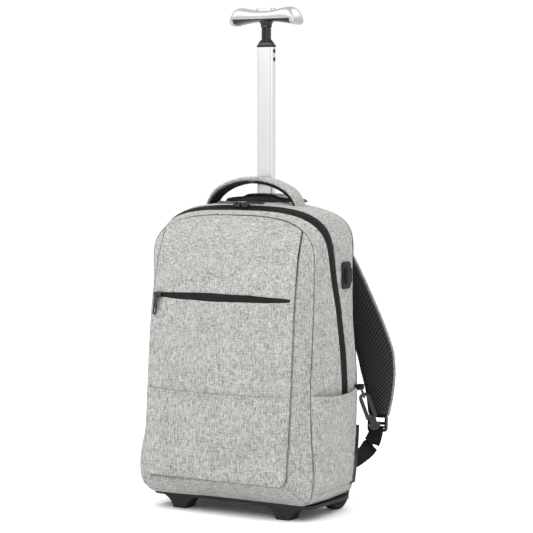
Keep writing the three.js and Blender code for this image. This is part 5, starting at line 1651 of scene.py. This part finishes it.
def usb_part(node, name, width, height, corner, rise, lip):
    """A rounded rubber slab in its node's place on the right side, its face towards +X."""
    low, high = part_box(node)
    middle = (low + high) / 2 / MM
    rings = []
    for inset, out in ((0.0, 0.0), (0.0, rise - lip), (lip * 0.3, rise - lip * 0.3), (lip, rise)):
        flat = outline(width - 2 * inset, height - 2 * inset, max(corner - inset, 0.5))
        x = np.full(len(flat), low.x / MM + out)
        rings.append(np.column_stack([x, middle.y - SHIFT_Y + flat[:, 0], middle.z + flat[:, 1]]))
    return loft_rings(name, rings)


for piece, material, body, slot, node, edge in (
    (grip_shell(), SATIN, "grip", "satin_silver", "grip_shell", 0.5),
    (grip_body(), GLOSS, "grip", "gloss_plastic", "grip_body", 0.4),
    (grip_button(), SATIN, "button", "satin_silver", "grip_button", 0.0),
    (post_tube(), ALUMINIUM, "post", "aluminium", "post_tube", 0.0),
    (usb_part(*USB_FRAME), RUBBER, "bag", "rubber", "usb_base", 0.0),
    (usb_part(*USB_FLAP), RUBBER, "bag", "rubber", "usb_cap", 0.0),
):
    dress(piece, material, body, [node])
    soften(piece, edge)
for piece, label in sides(strap_webbing):
    dress(piece, WEBBING, "bag", [f"strap_webbing_{label}"])
for piece, label in sides(wheel_tyre):
    dress(piece, TYRE, f"wheel_{label}", [f"wheel_tyre_{label}"])


# The CAD nodes that stay, by the start of their names
NODE_MATERIALS = (
    (PLASTIC, "base_plate front_foot wheel_hub wheel_housing corner_guard"),
    (GLOSS, "trolley_housing post_collar inner_stage ladder_lock snap_hook"),
    (ALUMINIUM, "wheel_axle trolley_sleeve"),
    (DARK_METAL, "d_ring front_slider front_puller top_slider top_puller"),
    (RUBBER, "post_plug"),
    (WEBBING, "ring_tab"),
)
NODE_EDGE = 0.5


def finish_nodes():
    """Gives each hard node that stays its finish, with rounded edges and smooth faces."""
    for material, names in NODE_MATERIALS:
        for obj in [o for o in bpy.data.objects if o.type == "MESH"]:
            if obj.name.startswith(tuple(names.split())):
                obj.data.materials.clear()
                obj.data.materials.append(material)
                soften(obj, NODE_EDGE)


finish_nodes()


def declare_sheet(name):
    """Reads the weave's coordinates of a piece, which give its cut size, and does nothing more with them."""
    obj = bpy.data.objects[name]
    layer = obj.data.uv_layers["weave"].data
    flat = np.zeros(2 * len(layer), np.float32)
    layer.foreach_get("uv", flat)


SHEETS = {
    "front_gusset_cloth": ["base_plate", "main_zip"],
    "rear_gusset_cloth": ["base_plate", "main_zip"],
    "main_zip": ["front_gusset_cloth", "rear_gusset_cloth"],
    "front_panel_cloth": ["pocket_gusset_cloth"],
    "front_zip_strip": ["front_panel_cloth"],
    "pocket_gusset_cloth": ["front_gusset_cloth"],
    "slip_pocket_cloth": ["front_panel_cloth"],
    "side_pocket_cloth_right": ["front_gusset_cloth", "rear_gusset_cloth"],
    "side_pocket_cloth_left": ["front_gusset_cloth", "rear_gusset_cloth"],
    "back_panel_cloth": ["rear_gusset_cloth"],
}
for name, rests_on in SHEETS.items():
    declare_sheet(name)


# The camera's angles in degrees, its distance in metres, and its focal length in pixels of the picture
AZIMUTH = 32.0
ELEVATION = 4.0
DISTANCE = 3.06
FOCAL_LENGTH = 2020
PICTURE = 533


def camera():
    """The camera at the photograph's place, round to the right of the front and a little up."""
    azimuth, elevation = math.radians(AZIMUTH), math.radians(ELEVATION)
    target = Vector((36.5, SHIFT_Y, 375.0)) * MM
    back = Vector((math.sin(azimuth) * math.cos(elevation), -math.cos(azimuth) * math.cos(elevation),
                   math.sin(elevation)))
    data = bpy.data.cameras.new("camera")
    data.sensor_width = 36.0
    data.lens = 36.0 * FOCAL_LENGTH / PICTURE
    data.clip_end = 50
    obj = bpy.data.objects.new("camera", data)
    obj.location = target + back * DISTANCE
    obj.rotation_mode = "QUATERNION"
    obj.rotation_quaternion = (-back).to_track_quat("-Z", "Y")
    bpy.context.scene.collection.objects.link(obj)
    bpy.context.scene.camera = obj


def studio():
    """A white floor and surround with soft lamps."""
    world = bpy.data.worlds.new("surround")
    world.use_nodes = True
    sky = world.node_tree.nodes["Background"]
    sky.inputs["Color"].default_value = (1, 1, 1, 1)
    sky.inputs["Strength"].default_value = 1.03
    bpy.context.scene.world = world
    bpy.ops.mesh.primitive_plane_add(size=60, location=(0, 0, 0))
    floor = bpy.context.active_object
    floor.name = "floor"
    nodes = Nodes("floor_white")
    white = nodes.set(Base_Color=(*grey(1.0), 1), Roughness=1.0, Specular_IOR_Level=0.0)
    floor.data.materials.append(white)
    lamp("key", (-0.45, -1.0, 1.45), 1.2, 19.5)
    lamp("fill", (1.45, -0.75, 1.45), 1.2, 16.5)
    lamp("rim", (1.4, 2.4, 2.6), 1.4, 22)


def lamp(name, place, size, power):
    data = bpy.data.lights.new(name, "AREA")
    data.shape = "SQUARE"
    data.size = size
    data.energy = power
    obj = bpy.data.objects.new(name, data)
    obj.location = place
    obj.rotation_mode = "QUATERNION"
    obj.rotation_quaternion = (Vector((0, 0, 0.35)) - Vector(place)).to_track_quat("-Z", "Y")
    bpy.context.scene.collection.objects.link(obj)


camera()
studio()
bpy.context.scene.view_settings.view_transform = "Standard"
